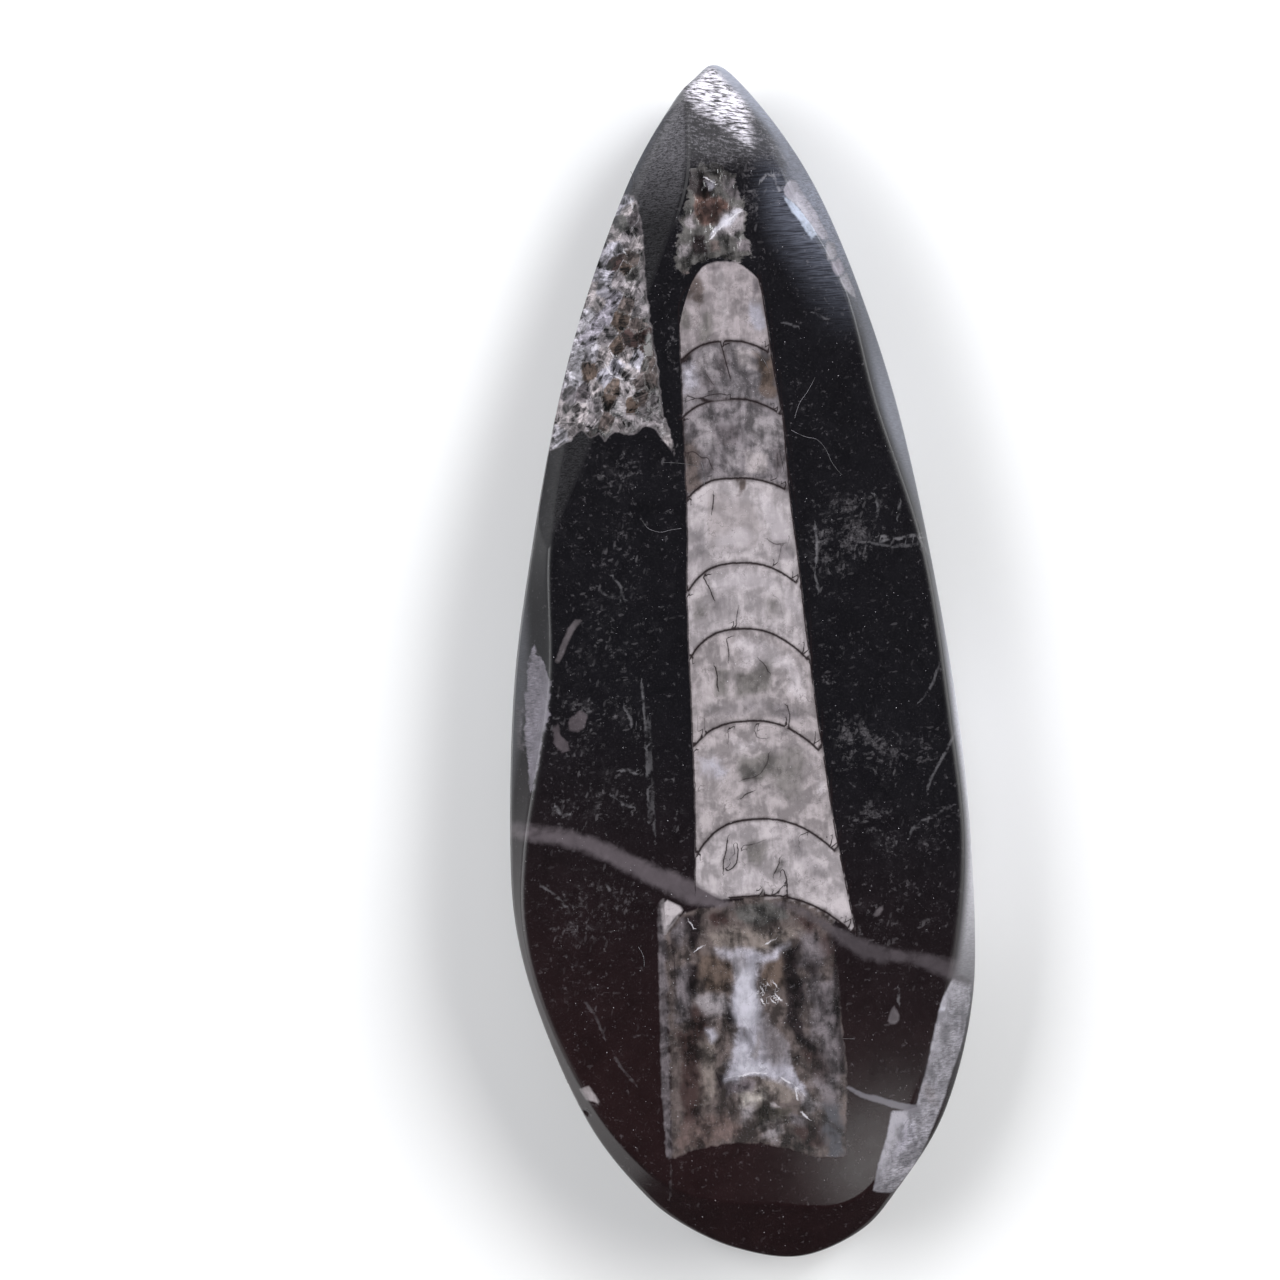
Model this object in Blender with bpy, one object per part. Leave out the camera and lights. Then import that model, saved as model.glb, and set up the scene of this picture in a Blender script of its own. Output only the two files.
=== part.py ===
"""A hand-ground teardrop of black limestone that holds a straight chambered shell.

One solid, lying on its flat ground back. X runs across the stone, Y along it with the
point towards +Y, Z up out of the polished face. Lengths below are in millimetres and
become metres when a mesh is made.
"""
from math import cos, radians, sin
from random import Random

import bmesh
import bpy
import numpy as np
from mathutils import Matrix, Vector

MM = 0.001

# --- driving dimensions ----------------------------------------------------------------
LENGTH = 145.5          # point to butt
WIDTH = 56.1            # widest, below the middle
THICKNESS = 22.0        # flat back to the top of the polished face

CROWN_ACROSS = 1.1      # how far the face falls from its middle line to its long edges
CROWN_BUTT, CROWN_BUTT_FROM = 2.8, -25.0    # and towards the butt, from this Y on
CROWN_TIP, CROWN_TIP_FROM = 1.7, 5.0        # and towards the point
NOSE_START = 58.0       # where the ground nose begins, measured along Y
NOSE_SLOPE = 0.25       # fall of the nose per millimetre
NOSE_BLEND = 3.0        # length over which the face bends into the nose

# The edge of the stone seen from above, clockwise from the point, with the width of the
# polished bevel there: x, y, bevel.
EDGE = [
    (1.6, 72.8, 1.5), (4.4, 71.0, 2.3), (9.7, 63.8, 2.2), (14.1, 55.4, 3.3),
    (18.1, 44.1, 2.0), (21.9, 29.8, 2.7), (24.9, 12.1, 1.0), (27.3, -7.8, 1.3),
    (28.05, -24.5, 1.3), (27.4, -41.7, 3.6), (23.3, -55.7, 4.6), (16.8, -65.2, 3.2),
    (12.0, -70.0, 4.4), (4.6, -72.75, 7.0), (-3.2, -71.3, 6.0), (-9.8, -67.8, 4.2),
    (-14.5, -63.5, 3.0), (-20.1, -55.5, 2.0), (-24.8, -43.9, 1.1), (-27.6, -32.7, 1.0),
    (-28.05, -21.5, 1.8), (-26.6, -2.0, 4.3), (-23.6, 14.6, 2.2), (-19.5, 32.0, 1.5),
    (-15.0, 45.8, 1.5), (-9.0, 59.7, 1.5), (-3.5, 68.4, 1.3), (-0.7, 71.3, 1.3),
]
BUTT_POINT = 13         # which of those points is the end of the butt

SPINE_LOW, SPINE_HIGH = -47.0, 62.0   # the inner lines of the face run together here
COLUMNS_PER_SIDE = 56
FINE_STEPS = 800        # steps of the curve that the columns are measured along
FACE_RINGS = 9          # from the bevel to the middle of the face

RIM_INSET = 0.35        # side wall leans in by this much up to the bevel
SIDE_LEAN = 0.25        # and by this much below its widest line
RIM_DROP = (1.2, 0.42)  # bevel height: a fixed part, and a part of its width
WIDEST_AT = 0.45        # height of the widest line, as a share of the rim's height
BACK_ROUND = [(1.2, 2.2), (2.6, 0.7), (4.6, 0.0)]   # inset and height round the back edge
BACK_RINGS = 3
UNDERCUT_FROM = 40.0    # from this Y on, the back's round grows towards the point,
UNDERCUT_IN, UNDERCUT_UP = 0.4, 1.8   # by these shares of its inset and of its height

# The large flat ground on the left of the point: a plane z = a + b*x + c*y.
LEFT_FLAT = (40.9, 0.70, -0.32)

# Broken calcite: centre x, y, half width, half length, lean in degrees, grain, depth.
ROUGH_PATCHES = [
    (-13.2, 39.5, 7.2, 12.5, -20.0, 3.2, 0.55),     # crystal mass by the left edge
    (0.6, 53.5, 4.8, 7.5, 5.0, 2.2, 0.45),          # broken grains above the shell
    (4.0, -47.5, 5.2, 9.0, -3.0, 2.8, 0.30),        # open cleavage in the last chamber
]
ROUGH_STEP = 1.15       # spacing of the mesh lines that carry the broken surface

# Hollows left by lost crystals: centre x, y, depth of the middle, size across.
CRYSTAL_PITS = [(0.4, 57.6, 1.3, 3.6), (-0.9, 55.4, 1.0, 2.6), (2.9, 54.6, 0.7, 2.8)]

# Shell-like chips on the bevel: centre x, y, z and radii.
EDGE_CHIPS = [
    (-21.3, -53.6, 19.6, 1.6, 1.0, 1.2), (19.4, -64.0, 17.2, 1.9, 1.0, 1.4),
    (17.2, -66.3, 17.0, 1.4, 0.9, 1.2), (24.7, -55.3, 17.0, 0.8, 1.6, 1.2),
    (27.9, -31.0, 18.0, 0.5, 1.0, 0.9), (-16.3, 45.4, 16.6, 0.8, 1.3, 0.7),
]


def clear_scene():
    for old in list(bpy.data.objects):
        bpy.data.objects.remove(old, do_unlink=True)


def on_edge(places):
    """Points (x, y, bevel) of the smooth closed curve through EDGE; whole places are EDGE's."""
    knots = np.array(EDGE)
    i = np.floor(places).astype(int)
    t = (places - i)[:, None]
    before, a, b, after = (knots[(i + k) % len(knots)] for k in (-1, 0, 1, 2))
    return 0.5 * (
        2 * a + (b - before) * t
        + (2 * before - 5 * a + 4 * b - after) * t ** 2
        + (3 * a - 3 * b + after - before) * t ** 3
    )


def side_points(last_place):
    """Evenly spaced points (x, y, bevel) down one side, from the point to the butt."""
    fine = on_edge(np.linspace(0, last_place, FINE_STEPS))
    walked = np.append(0, np.cumsum(np.hypot(*np.diff(fine[:, :2], axis=0).T)))
    wanted = np.linspace(0, walked[-1], COLUMNS_PER_SIDE + 1)
    return np.stack([np.interp(wanted, walked, fine[:, k]) for k in range(3)], axis=1)


def middle_line(y):
    """X of the stone's middle, which swings a little to the right at both ends."""
    return 0.1 + 1.5 * (y / 70) ** 2


def face_height(x, y):
    """Height of the crowned face, bending down into the nose."""
    across = (x - middle_line(y)) / (WIDTH / 2)
    toward_butt = np.maximum(0, CROWN_BUTT_FROM - y) / (LENGTH / 2 + CROWN_BUTT_FROM)
    toward_tip = np.maximum(0, y - CROWN_TIP_FROM) / (LENGTH / 2 - CROWN_TIP_FROM)
    height = THICKNESS - CROWN_ACROSS * across ** 2
    height = height - CROWN_BUTT * toward_butt ** 2 - CROWN_TIP * toward_tip ** 2
    past = y - NOSE_START
    return height - NOSE_SLOPE * 0.5 * (past + np.sqrt(past * past + NOSE_BLEND ** 2))


class Columns:
    """Lines that run in from the edge to the spine of the stone, all round it."""

    def __init__(self):
        sides = [side_points(way) for way in (BUTT_POINT, BUTT_POINT - len(EDGE))]
        y = np.clip((sides[0][:, 1] + sides[1][:, 1]) / 2, SPINE_LOW, SPINE_HIGH)
        spine = np.stack([middle_line(y), y], axis=1)
        self.edge = np.concatenate([sides[0][:-1, :2], sides[1][:0:-1, :2]])
        self.bevel = np.concatenate([sides[0][:-1, 2], sides[1][:0:-1, 2]])
        inward = np.concatenate([spine[:-1], spine[:0:-1]]) - self.edge
        self.reach = np.hypot(*inward.T)
        self.step = inward / self.reach[:, None]
        self.outline = on_edge(np.linspace(0, len(EDGE), FINE_STEPS))[:, :2]

    def along(self, travel):
        """Points at a distance along the columns."""
        return self.edge + self.step * travel[:, None]

    def inset(self, depth):
        """Distance along each column at which it lies this deep inside the edge."""
        low, high = np.zeros(len(self.edge)), self.reach * 0.97
        for _ in range(18):
            middle = (low + high) / 2
            gap = self.along(middle)[:, None] - self.outline[None]
            near = np.hypot(gap[..., 0], gap[..., 1]).min(axis=1) < depth
            low, high = np.where(near, middle, low), np.where(near, high, middle)
        return high


def blank_rings(columns):
    """The rings of the blank, from the middle of the back over the edge to the spine."""
    def ring(travel, height):
        place = columns.along(travel)
        return np.column_stack([place, np.broadcast_to(height, len(place))])

    near_tip = np.clip((columns.edge[:, 1] - UNDERCUT_FROM) / (LENGTH / 2 - UNDERCUT_FROM), 0, 1)
    wider, taller = 1 + UNDERCUT_IN * near_tip ** 2, 1 + UNDERCUT_UP * near_tip ** 2
    round_in = [columns.inset(depth * wider) for depth, _ in BACK_ROUND]
    rings = []
    for n in range(BACK_RINGS):
        share = 1 - n / BACK_RINGS
        rings.append(ring(round_in[-1] + (columns.reach - round_in[-1]) * share, 0.0))
    for travel, (_, height) in reversed(list(zip(round_in, BACK_ROUND))):
        rings.append(ring(travel, height * taller))

    bevel_in = columns.inset(columns.bevel)
    rim = face_height(*columns.along(bevel_in).T) - RIM_DROP[0] - RIM_DROP[1] * columns.bevel
    widest = rim * WIDEST_AT + UNDERCUT_UP * near_tip
    rings.append(ring(columns.inset(SIDE_LEAN), (BACK_ROUND[0][1] * taller + widest) / 2))
    rings.append(ring(0 * columns.reach, widest))
    rings.append(ring(columns.inset(SIDE_LEAN / 3), rim * 0.8))
    rings.append(ring(columns.inset(RIM_INSET), rim))
    for n in range(FACE_RINGS + 1):
        travel = bevel_in + (columns.reach - bevel_in) * n / FACE_RINGS
        rings.append(ring(travel, face_height(*columns.along(travel).T)))
    return rings


def make_blank():
    """The rounded, bevelled blank as one closed mesh, in millimetres."""
    bm = bmesh.new()
    rings = [[bm.verts.new(p) for p in ring] for ring in blank_rings(Columns())]
    for low, high in zip(rings, rings[1:]):
        for n in range(len(low)):
            bm.faces.new((low[n - 1], low[n], high[n], high[n - 1]))
    bmesh.ops.remove_doubles(bm, verts=bm.verts, dist=0.02)
    bmesh.ops.dissolve_degenerate(bm, edges=bm.edges, dist=0.001)
    bmesh.ops.recalc_face_normals(bm, faces=bm.faces)
    return bm


def everything(bm):
    return list(bm.verts) + list(bm.edges) + list(bm.faces)


def grind_flat(bm, plane):
    """Takes off all that stands above the plane z = a + b*x + c*y and closes the cut."""
    a, b, c = plane
    normal = Vector((-b, -c, 1.0)).normalized()
    cut = bmesh.ops.bisect_plane(
        bm, geom=everything(bm), dist=0.001, plane_co=(0, 0, a), plane_no=normal,
        clear_outer=True,
    )
    rim = [e for e in cut["geom_cut"] if isinstance(e, bmesh.types.BMEdge)]
    bmesh.ops.contextual_create(bm, geom=rim)


def patch_place(patch, x, y):
    """Where x, y lies in a rough patch: 0 at its middle, 1 on its outline."""
    centre_x, centre_y, wide, tall, lean = patch[:5]
    turn = radians(lean)
    dx, dy = x - centre_x, y - centre_y
    across = (dx * cos(turn) + dy * sin(turn)) / wide
    along = (dy * cos(turn) - dx * sin(turn)) / tall
    return (abs(across) ** 2.6 + abs(along) ** 2.6) ** (1 / 2.6)


def slice_patch(bm, patch):
    """Adds a lattice of mesh lines over a patch of the face."""
    centre = Vector(patch[:2])
    reach = max(patch[2:4]) + 1.0
    for axis, span in ((Vector((1, 0.06, 0)), patch[2] + 4), (Vector((-0.05, 1, 0)), reach)):
        lines = int(span / ROUGH_STEP)
        for n in range(-lines, lines + 1):
            near = [
                f for f in bm.faces
                if f.normal.z > 0.3
                and any(patch_place(patch, v.co.x, v.co.y) < 1.25 for v in f.verts)
            ]
            touched = {e for f in near for e in f.edges} | {v for f in near for v in f.verts}
            place = centre.to_3d() + axis * n * ROUGH_STEP
            bmesh.ops.bisect_plane(
                bm, geom=near + list(touched), dist=0.05, plane_co=place, plane_no=axis,
            )


def cleavage_planes(patch, seed):
    """The crystals of a patch: a centre, a depth and a tilt for each."""
    draw = Random(seed)
    wide, tall, grain, depth = patch[2], patch[3], patch[5], patch[6]
    crystals = []
    for row in range(-int(tall / grain) - 1, int(tall / grain) + 2):
        for col in range(-int(wide / grain) - 2, int(wide / grain) + 3):
            x = patch[0] + (col + draw.uniform(-0.4, 0.4)) * grain
            y = patch[1] + (row + draw.uniform(-0.4, 0.4)) * grain
            sink = depth * draw.uniform(0.1, 0.9)
            tilt = Vector((draw.uniform(-1, 1), draw.uniform(-1, 1))) * depth / grain
            crystals.append((Vector((x, y)), sink, tilt))
    return crystals


def break_surface(bm, patch, seed):
    """Sinks the face of a patch to its crystals' cleavage planes."""
    crystals = cleavage_planes(patch, seed)
    deepest = patch[6] * 1.6
    for v in bm.verts:
        if v.normal.z < 0.3 or v.co.z < 8:
            continue
        place = patch_place(patch, v.co.x, v.co.y)
        if place >= 1:
            continue
        spot = v.co.to_2d()
        centre, sink, tilt = min(crystals, key=lambda c: (c[0] - spot).length)
        depth = min(max(sink + tilt.dot(spot - centre), 0.02), deepest)
        v.co.z -= depth * min(1.0, (1 - place) * 5)


def mesh_object(name, bm, material=None):
    """Writes a millimetre bmesh as an object in metres."""
    mesh = bpy.data.meshes.new(name)
    bmesh.ops.scale(bm, vec=(MM, MM, MM), verts=bm.verts)
    bm.to_mesh(mesh)
    bm.free()
    if material:
        mesh.materials.append(material)
    thing = bpy.data.objects.new(name, mesh)
    bpy.context.scene.collection.objects.link(thing)
    return thing


def cutter(name, bm):
    thing = mesh_object(name, bm)
    thing.hide_render = True
    thing.display_type = "WIRE"
    return thing


def pit_cutter(number, x, y, depth, size):
    """A calcite-shaped rhomb, standing on a corner, that leaves a flat-faced pit."""
    bm = bmesh.new()
    bmesh.ops.create_cube(bm, size=size)
    shear = Matrix(((1, 0.28, 0), (0, 1, 0.2), (0, 0, 1)))
    turn = Matrix.Rotation(0.7 + 1.3 * number, 3, "Z") @ Matrix.Rotation(0.62, 3, "X")
    centre = Vector((x, y, face_height(x, y) + size * 0.45 - depth))
    for v in bm.verts:
        v.co = turn @ (shear @ v.co) + centre
    return cutter(f"pit_cutter_{number}", bm)


def chip_cutter(number, x, y, z, wide, tall, deep):
    """A rounded cutter for a shell-like chip."""
    bm = bmesh.new()
    bmesh.ops.create_icosphere(bm, subdivisions=2, radius=1)
    for v in bm.verts:
        v.co = Vector((x + v.co.x * wide, y + v.co.y * tall, z + v.co.z * deep))
    return cutter(f"chip_cutter_{number}", bm)


def cut_away(stone, tool):
    """Subtracts the cutter with a live, exact Boolean."""
    difference = stone.modifiers.new(tool.name, "BOOLEAN")
    difference.operation = "DIFFERENCE"
    difference.solver = "EXACT"
    difference.object = tool


def polished_limestone():
    material = bpy.data.materials.new("polished_black_limestone")
    material.use_nodes = True
    shader = material.node_tree.nodes["Principled BSDF"]
    shader.inputs["Base Color"].default_value = (0.012, 0.011, 0.013, 1)
    shader.inputs["Roughness"].default_value = 0.2
    shader.inputs["Metallic"].default_value = 0.0
    material.diffuse_color = (0.05, 0.05, 0.055, 1)
    return material


def stand_on_origin(bm):
    """Puts the middle of the stone's box over the origin, at its exact length and width."""
    xs = [v.co.x for v in bm.verts]
    ys = [v.co.y for v in bm.verts]
    middle = Vector(((min(xs) + max(xs)) / 2, (min(ys) + max(ys)) / 2, 0))
    stretch = (WIDTH / (max(xs) - min(xs)), LENGTH / (max(ys) - min(ys)), 1)
    bmesh.ops.translate(bm, vec=-middle, verts=bm.verts)
    bmesh.ops.scale(bm, vec=stretch, verts=bm.verts)


def build_stone():
    bm = make_blank()
    grind_flat(bm, LEFT_FLAT)
    stand_on_origin(bm)
    for seed, patch in enumerate(ROUGH_PATCHES):
        slice_patch(bm, patch)
        bm.normal_update()
        break_surface(bm, patch, seed)
    bmesh.ops.triangulate(bm, faces=bm.faces, quad_method="BEAUTY", ngon_method="BEAUTY")
    bmesh.ops.recalc_face_normals(bm, faces=bm.faces)
    stone = mesh_object("orthoceras_stone", bm, polished_limestone())
    tools = [pit_cutter(n, *pit) for n, pit in enumerate(CRYSTAL_PITS)]
    tools += [chip_cutter(n, *chip) for n, chip in enumerate(EDGE_CHIPS)]
    for tool in tools:
        cut_away(stone, tool)
    stone.data.shade_smooth()
    stone.data.set_sharp_from_angle(angle=radians(12))
    return stone


clear_scene()
build_stone()
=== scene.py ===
# %% [markdown]
# # A polished orthoceras in black limestone
# The object is one stone: a teardrop of black limestone, cut and polished so that the face
# passes through a straight chambered shell filled with pale calcite. It lies on its flat
# ground back. X runs across it, Y along it with the point towards +Y, Z out of the face.
#
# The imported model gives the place, the size and the name of the body. Everything below is
# fitted to it, so nothing has to be moved by eye afterwards.

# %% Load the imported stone
from math import cos, radians, sin

import bmesh
import bpy
import numpy as np
from mathutils import Matrix, Vector


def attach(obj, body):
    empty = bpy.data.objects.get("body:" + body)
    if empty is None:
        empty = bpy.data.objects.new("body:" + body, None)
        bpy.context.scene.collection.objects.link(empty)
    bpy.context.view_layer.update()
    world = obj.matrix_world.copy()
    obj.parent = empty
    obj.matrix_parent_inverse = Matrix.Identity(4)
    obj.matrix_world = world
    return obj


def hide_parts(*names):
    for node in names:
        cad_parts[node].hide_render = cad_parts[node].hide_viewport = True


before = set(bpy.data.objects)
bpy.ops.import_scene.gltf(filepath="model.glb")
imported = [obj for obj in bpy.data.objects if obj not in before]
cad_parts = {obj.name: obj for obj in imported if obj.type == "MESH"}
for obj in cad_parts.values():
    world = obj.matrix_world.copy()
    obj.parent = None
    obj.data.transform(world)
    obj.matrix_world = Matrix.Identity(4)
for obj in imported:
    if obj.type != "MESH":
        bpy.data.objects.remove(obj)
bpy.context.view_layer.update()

MM = 0.001

# %% [markdown]
# ## Floor and camera
# A polished black face shows what it faces, so the scene is planned like a table top in a
# studio: pale floor, bright sides, and a dark space right above the stone, which makes the
# limestone read black. The camera looks straight down with a long lens, turned by three
# degrees, so that the stone lies slightly askew.

# %% Camera and view
FRAME_MM = 156.7          # width of the view at the height of the stone's edge
LENS = 150.0
WIDEST_LINE = 9.0         # height of that edge
CAMERA_OVER, CAMERA_TURN = (-10.846, 3.188), -3.0
scene = bpy.context.scene
scene.view_settings.view_transform = "Standard"

camera_data = bpy.data.cameras.new("camera")
camera_data.lens = LENS
camera_data.sensor_width = 36.0
camera_data.clip_end = 20
camera = bpy.data.objects.new("camera", camera_data)
distance = LENS * FRAME_MM / camera_data.sensor_width
camera.location = Vector((*CAMERA_OVER, WIDEST_LINE + distance)) * MM
camera.rotation_euler = (0, 0, radians(CAMERA_TURN))
scene.collection.objects.link(camera)
scene.camera = camera
print(f"camera {distance:.0f} mm above the stone's widest line")

# %% [markdown]
# ## Writing node trees as expressions
# A finish is mostly arithmetic: distances, masks and blends. Written with the mouse this is
# a web of Math nodes; written in Python it can be read like a formula. `Wire` wraps one
# output socket, and each operator on it adds the Math node that does the sum. `Tree.node`
# adds any other node: its settings first, then the values or links of its sockets.

# %% Wires and trees
class Wire:
    """One output socket. Arithmetic on it adds Math nodes to its tree."""

    def __init__(self, tree, socket):
        self.tree, self.socket = tree, socket

    def __add__(self, other):
        return self.tree.math("ADD", self, other)

    __radd__ = __add__

    def __sub__(self, other):
        return self.tree.math("SUBTRACT", self, other)

    def __rsub__(self, other):
        return self.tree.math("SUBTRACT", other, self)

    def __mul__(self, other):
        return self.tree.math("MULTIPLY", self, other)

    __rmul__ = __mul__

    def __truediv__(self, other):
        return self.tree.math("DIVIDE", self, other)

    def __pow__(self, other):
        return self.tree.math("POWER", self, other)

    def __abs__(self):
        return self.tree.math("ABSOLUTE", self)

    def also(self, output):
        """Another output of the same node."""
        return Wire(self.tree, self.socket.node.outputs[output])


class Tree:
    """A shader or geometry tree that is written as expressions."""

    def __init__(self, node_tree):
        self.node_tree = node_tree

    def node(self, kind, settings=None, sockets=None, output=0):
        """Adds a node: its settings first, then its sockets. Returns one of its outputs."""
        made = self.node_tree.nodes.new(kind)
        for name, value in (settings or {}).items():
            setattr(made, name, value)
        for name, value in (sockets or {}).items():
            if isinstance(value, Wire):
                self.node_tree.links.new(value.socket, made.inputs[name])
            else:
                made.inputs[name].default_value = value
        return Wire(self, made.outputs[output]) if made.outputs else made

    def math(self, operation, *values):
        return self.node("ShaderNodeMath", {"operation": operation}, dict(enumerate(values)))

    def vector(self, operation, *values, output=0):
        settings = {"operation": operation}
        return self.node("ShaderNodeVectorMath", settings, dict(enumerate(values)), output)

    def step(self, value, low, high):
        """0 below low, 1 above high, and smooth between them."""
        sockets = {"Value": value, "From Min": low, "From Max": high}
        return self.node("ShaderNodeMapRange", {"interpolation_type": "SMOOTHSTEP"}, sockets)

    def fade(self, value, low, high):
        """1 below low, 0 above high."""
        return 1 - self.step(value, low, high)

    def blend(self, factor, low, high, how="MIX"):
        """Colour low where factor is 0, and high where it is 1."""
        settings = {"data_type": "RGBA", "blend_type": how}
        return self.node("ShaderNodeMix", settings, {0: factor, 6: low, 7: high}, 2)

    def noise(self, place, scale, detail=3.0, roughness=0.55, output=0, **more):
        """Noise of about 0.5; scale is in lumps per unit of place."""
        sockets = {"Vector": place, "Scale": scale, "Detail": detail, "Roughness": roughness}
        return self.node("ShaderNodeTexNoise", {}, {**sockets, **more}, output)

    def parts(self, vector):
        """The three parts of a vector, as wires."""
        split = self.node("ShaderNodeSeparateXYZ", {}, {0: vector})
        return [Wire(self, socket) for socket in split.socket.node.outputs]

    def attribute(self, name, output="Vector"):
        return self.node("ShaderNodeAttribute", {"attribute_name": name}, {}, output)


def new_finish(name):
    """An empty material; returns it and its tree."""
    material = bpy.data.materials.new(name)
    material.use_nodes = True
    material.node_tree.nodes.clear()
    return material, Tree(material.node_tree)


def principled(tree, sockets):
    """Ends a material: a Principled shader with these sockets, linked to the output."""
    shader = tree.node("ShaderNodeBsdfPrincipled", {}, sockets)
    tree.node("ShaderNodeOutputMaterial", {}, {"Surface": shader})


def millimetres(tree):
    """The place on the piece, in millimetres."""
    place = tree.node("ShaderNodeTexCoord", {}, {}, "Object")
    return tree.vector("MULTIPLY", place, (1000.0, 1000.0, 1000.0))


print("tree helpers ready")

# %% [markdown]
# ## The room
# Soft light from all sides: the world is bright near the horizon, like a ring of white
# screens, and dark above. Two large soft boxes to the left and right model the broken
# calcite and lie low enough that the bevels mirror the dark between them. Small ones light
# the point, and a weak panel lies in the polish near the butt.

# %% World, lights and floor
HORIZON_GLOW, ZENITH_GLOW = 1.0, 0.015
DARK_BUTT, DARK_LEFT = 0.95, 0.85     # share of the glow that is missing on two sides
FLOOR = 2.0                           # half the floor's width in metres
MIDDLE, BUTT = (0, 0, 0.02), (0.013, -0.058, 0.019)
TIP, NOSE = (0.006, 0.066, 0.018), (0.003, 0.067, 0.019)
LAMPS = [   # name, aim, direction it stands in, metres away, size, watts, tint
    ("left_box", MIDDLE, (-1.0, 0.25, 1.25), 1.1, (0.8, 0.6), 9.9, (0.97, 0.98, 1.0)),
    ("right_box", MIDDLE, (1.0, 0.35, 1.2), 1.1, (0.8, 0.6), 8.3, (1.0, 0.99, 0.98)),
    ("tip_box", TIP, (0.76, 0.60, 1.0), 0.8, (0.2, 0.3), 1.7, (0.88, 0.94, 1.0)),
    ("nose_box", NOSE, (0.06, 1.13, 1.0), 0.8, (0.45, 0.35), 0.5, (1.0, 0.97, 1.03)),
    ("butt_panel", BUTT, (0.118, -0.268, 0.956), 0.9, (0.10, 0.07), 0.066, (1, 1, 1)),
]

world = bpy.data.worlds.new("room")
scene.world = world
world.use_nodes = True
room = Tree(world.node_tree)
world.node_tree.nodes.clear()
looking = room.node("ShaderNodeTexCoord", {}, {}, "Generated")
eastward, northward, height = room.parts(looking)
above = room.step(height, 0.15, 0.72)
behind = room.step(northward * -1, 0.15, 0.75) * DARK_BUTT
behind = room.math("MAXIMUM", behind, room.step(eastward * -1, 0.2, 0.85) * DARK_LEFT)
screens = room.blend(above, (0.98, 0.96, 1.03, 1), (0.9, 0.95, 1.0, 1))
strength = HORIZON_GLOW * (1 - behind) + (ZENITH_GLOW - HORIZON_GLOW * (1 - behind)) * above
background = room.node("ShaderNodeBackground", {}, {"Color": screens, "Strength": strength})
room.node("ShaderNodeOutputWorld", {}, {"Surface": background})

for name, aim, towards, far, size, watts, tint in LAMPS:
    data = bpy.data.lights.new(name, "AREA")
    data.shape, data.size, data.size_y = "RECTANGLE", *size
    data.energy, data.color = watts, tint
    lamp = bpy.data.objects.new(name, data)
    direction = Vector(towards).normalized()
    lamp.location = Vector(aim) + direction * far
    lamp.rotation_euler = direction.to_track_quat("Z", "Y").to_euler()
    scene.collection.objects.link(lamp)

floor_mesh = bpy.data.meshes.new("floor")
corners = [(-FLOOR, -FLOOR, 0), (FLOOR, -FLOOR, 0), (FLOOR, FLOOR, 0), (-FLOOR, FLOOR, 0)]
floor_mesh.from_pydata(corners, [], [(0, 1, 2, 3)])
floor = bpy.data.objects.new("floor", floor_mesh)
scene.collection.objects.link(floor)
table, paper = new_finish("pale_floor")
place = paper.node("ShaderNodeTexCoord", {}, {}, "Object")
cloud = paper.noise(place, 9.0, 4.0)
principled(paper, {
    "Base Color": paper.blend(cloud, (0.90, 0.90, 0.90, 1), (0.93, 0.93, 0.925, 1)),
    "Roughness": 0.9,
    "Specular IOR Level": 0.1,
})
floor_mesh.materials.append(table)
print("lights:", [lamp[0] for lamp in LAMPS])

# %% [markdown]
# ## The shape of the stone
# The stone was sawn, ground to a teardrop on a wheel, bevelled and polished. A grinder
# thinks in the same terms as the mesh below: an outline, a crowned face, a bevel whose
# width changes along the edge, side walls that lean in a little, and one flat ground on the
# left of the point. The measures are the same as in the part's source; the mesh is finer,
# because the surface carries relief and markings.
#
# A loft suits it: columns run in from the edge to a spine, and rings run round the stone.

# %% Measures
LENGTH, WIDTH, THICKNESS = 145.5, 56.1, 22.0
CROWN_ACROSS = 1.1                        # how much lower the face is at its sides
CROWN_BUTT, CROWN_BUTT_FROM = 2.8, -25.0
CROWN_TIP, CROWN_TIP_FROM = 1.7, 5.0
NOSE_FACETS = ((58.0, 0.25, 3.0), (65.0, 0.06, 1.0))    # from which y, slope, roundness
EDGE = np.array([    # x, y and width of the bevel, clockwise from the point
    (1.6, 72.8, 1.5), (4.4, 71.0, 2.3), (9.7, 63.8, 2.2), (14.1, 55.4, 3.3),
    (18.1, 44.1, 2.0), (21.9, 29.8, 2.7), (24.9, 12.1, 1.0), (27.3, -7.8, 1.3),
    (28.05, -24.5, 1.3), (27.4, -41.7, 3.6), (23.3, -55.7, 4.6), (16.8, -65.2, 3.2),
    (12.0, -70.0, 4.4), (4.6, -72.75, 7.0), (-3.2, -71.3, 6.0), (-9.8, -67.8, 4.2),
    (-14.5, -63.5, 3.0), (-20.1, -55.5, 2.0), (-24.8, -43.9, 1.1), (-27.6, -32.7, 1.0),
    (-28.05, -21.5, 1.8), (-26.6, -2.0, 4.3), (-23.6, 14.6, 2.2), (-19.5, 32.0, 1.5),
    (-15.0, 45.8, 1.5), (-9.0, 59.7, 1.5), (-3.5, 68.4, 1.3), (-0.7, 71.3, 1.3),
])
BUTT_POINT = 13                           # number of the point of EDGE at the butt
SPINE_LOW, SPINE_HIGH = -47.0, 62.0
RIM_INSET, SIDE_LEAN = 0.35, 0.25
RIM_DROP = (1.2, 0.42)                    # depth of the bevel: fixed part, and per mm of width
WIDEST_AT = 0.45                          # share of the side's height
BACK_ROUND = [(1.2, 2.2), (2.6, 0.7), (4.6, 0.0)]       # inset and height
UNDERCUT_FROM, UNDERCUT_IN, UNDERCUT_UP = 40.0, 0.4, 1.8
LEFT_FLAT = (40.9, 0.70, -0.32)           # the plane z = a + b*x + c*y
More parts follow.
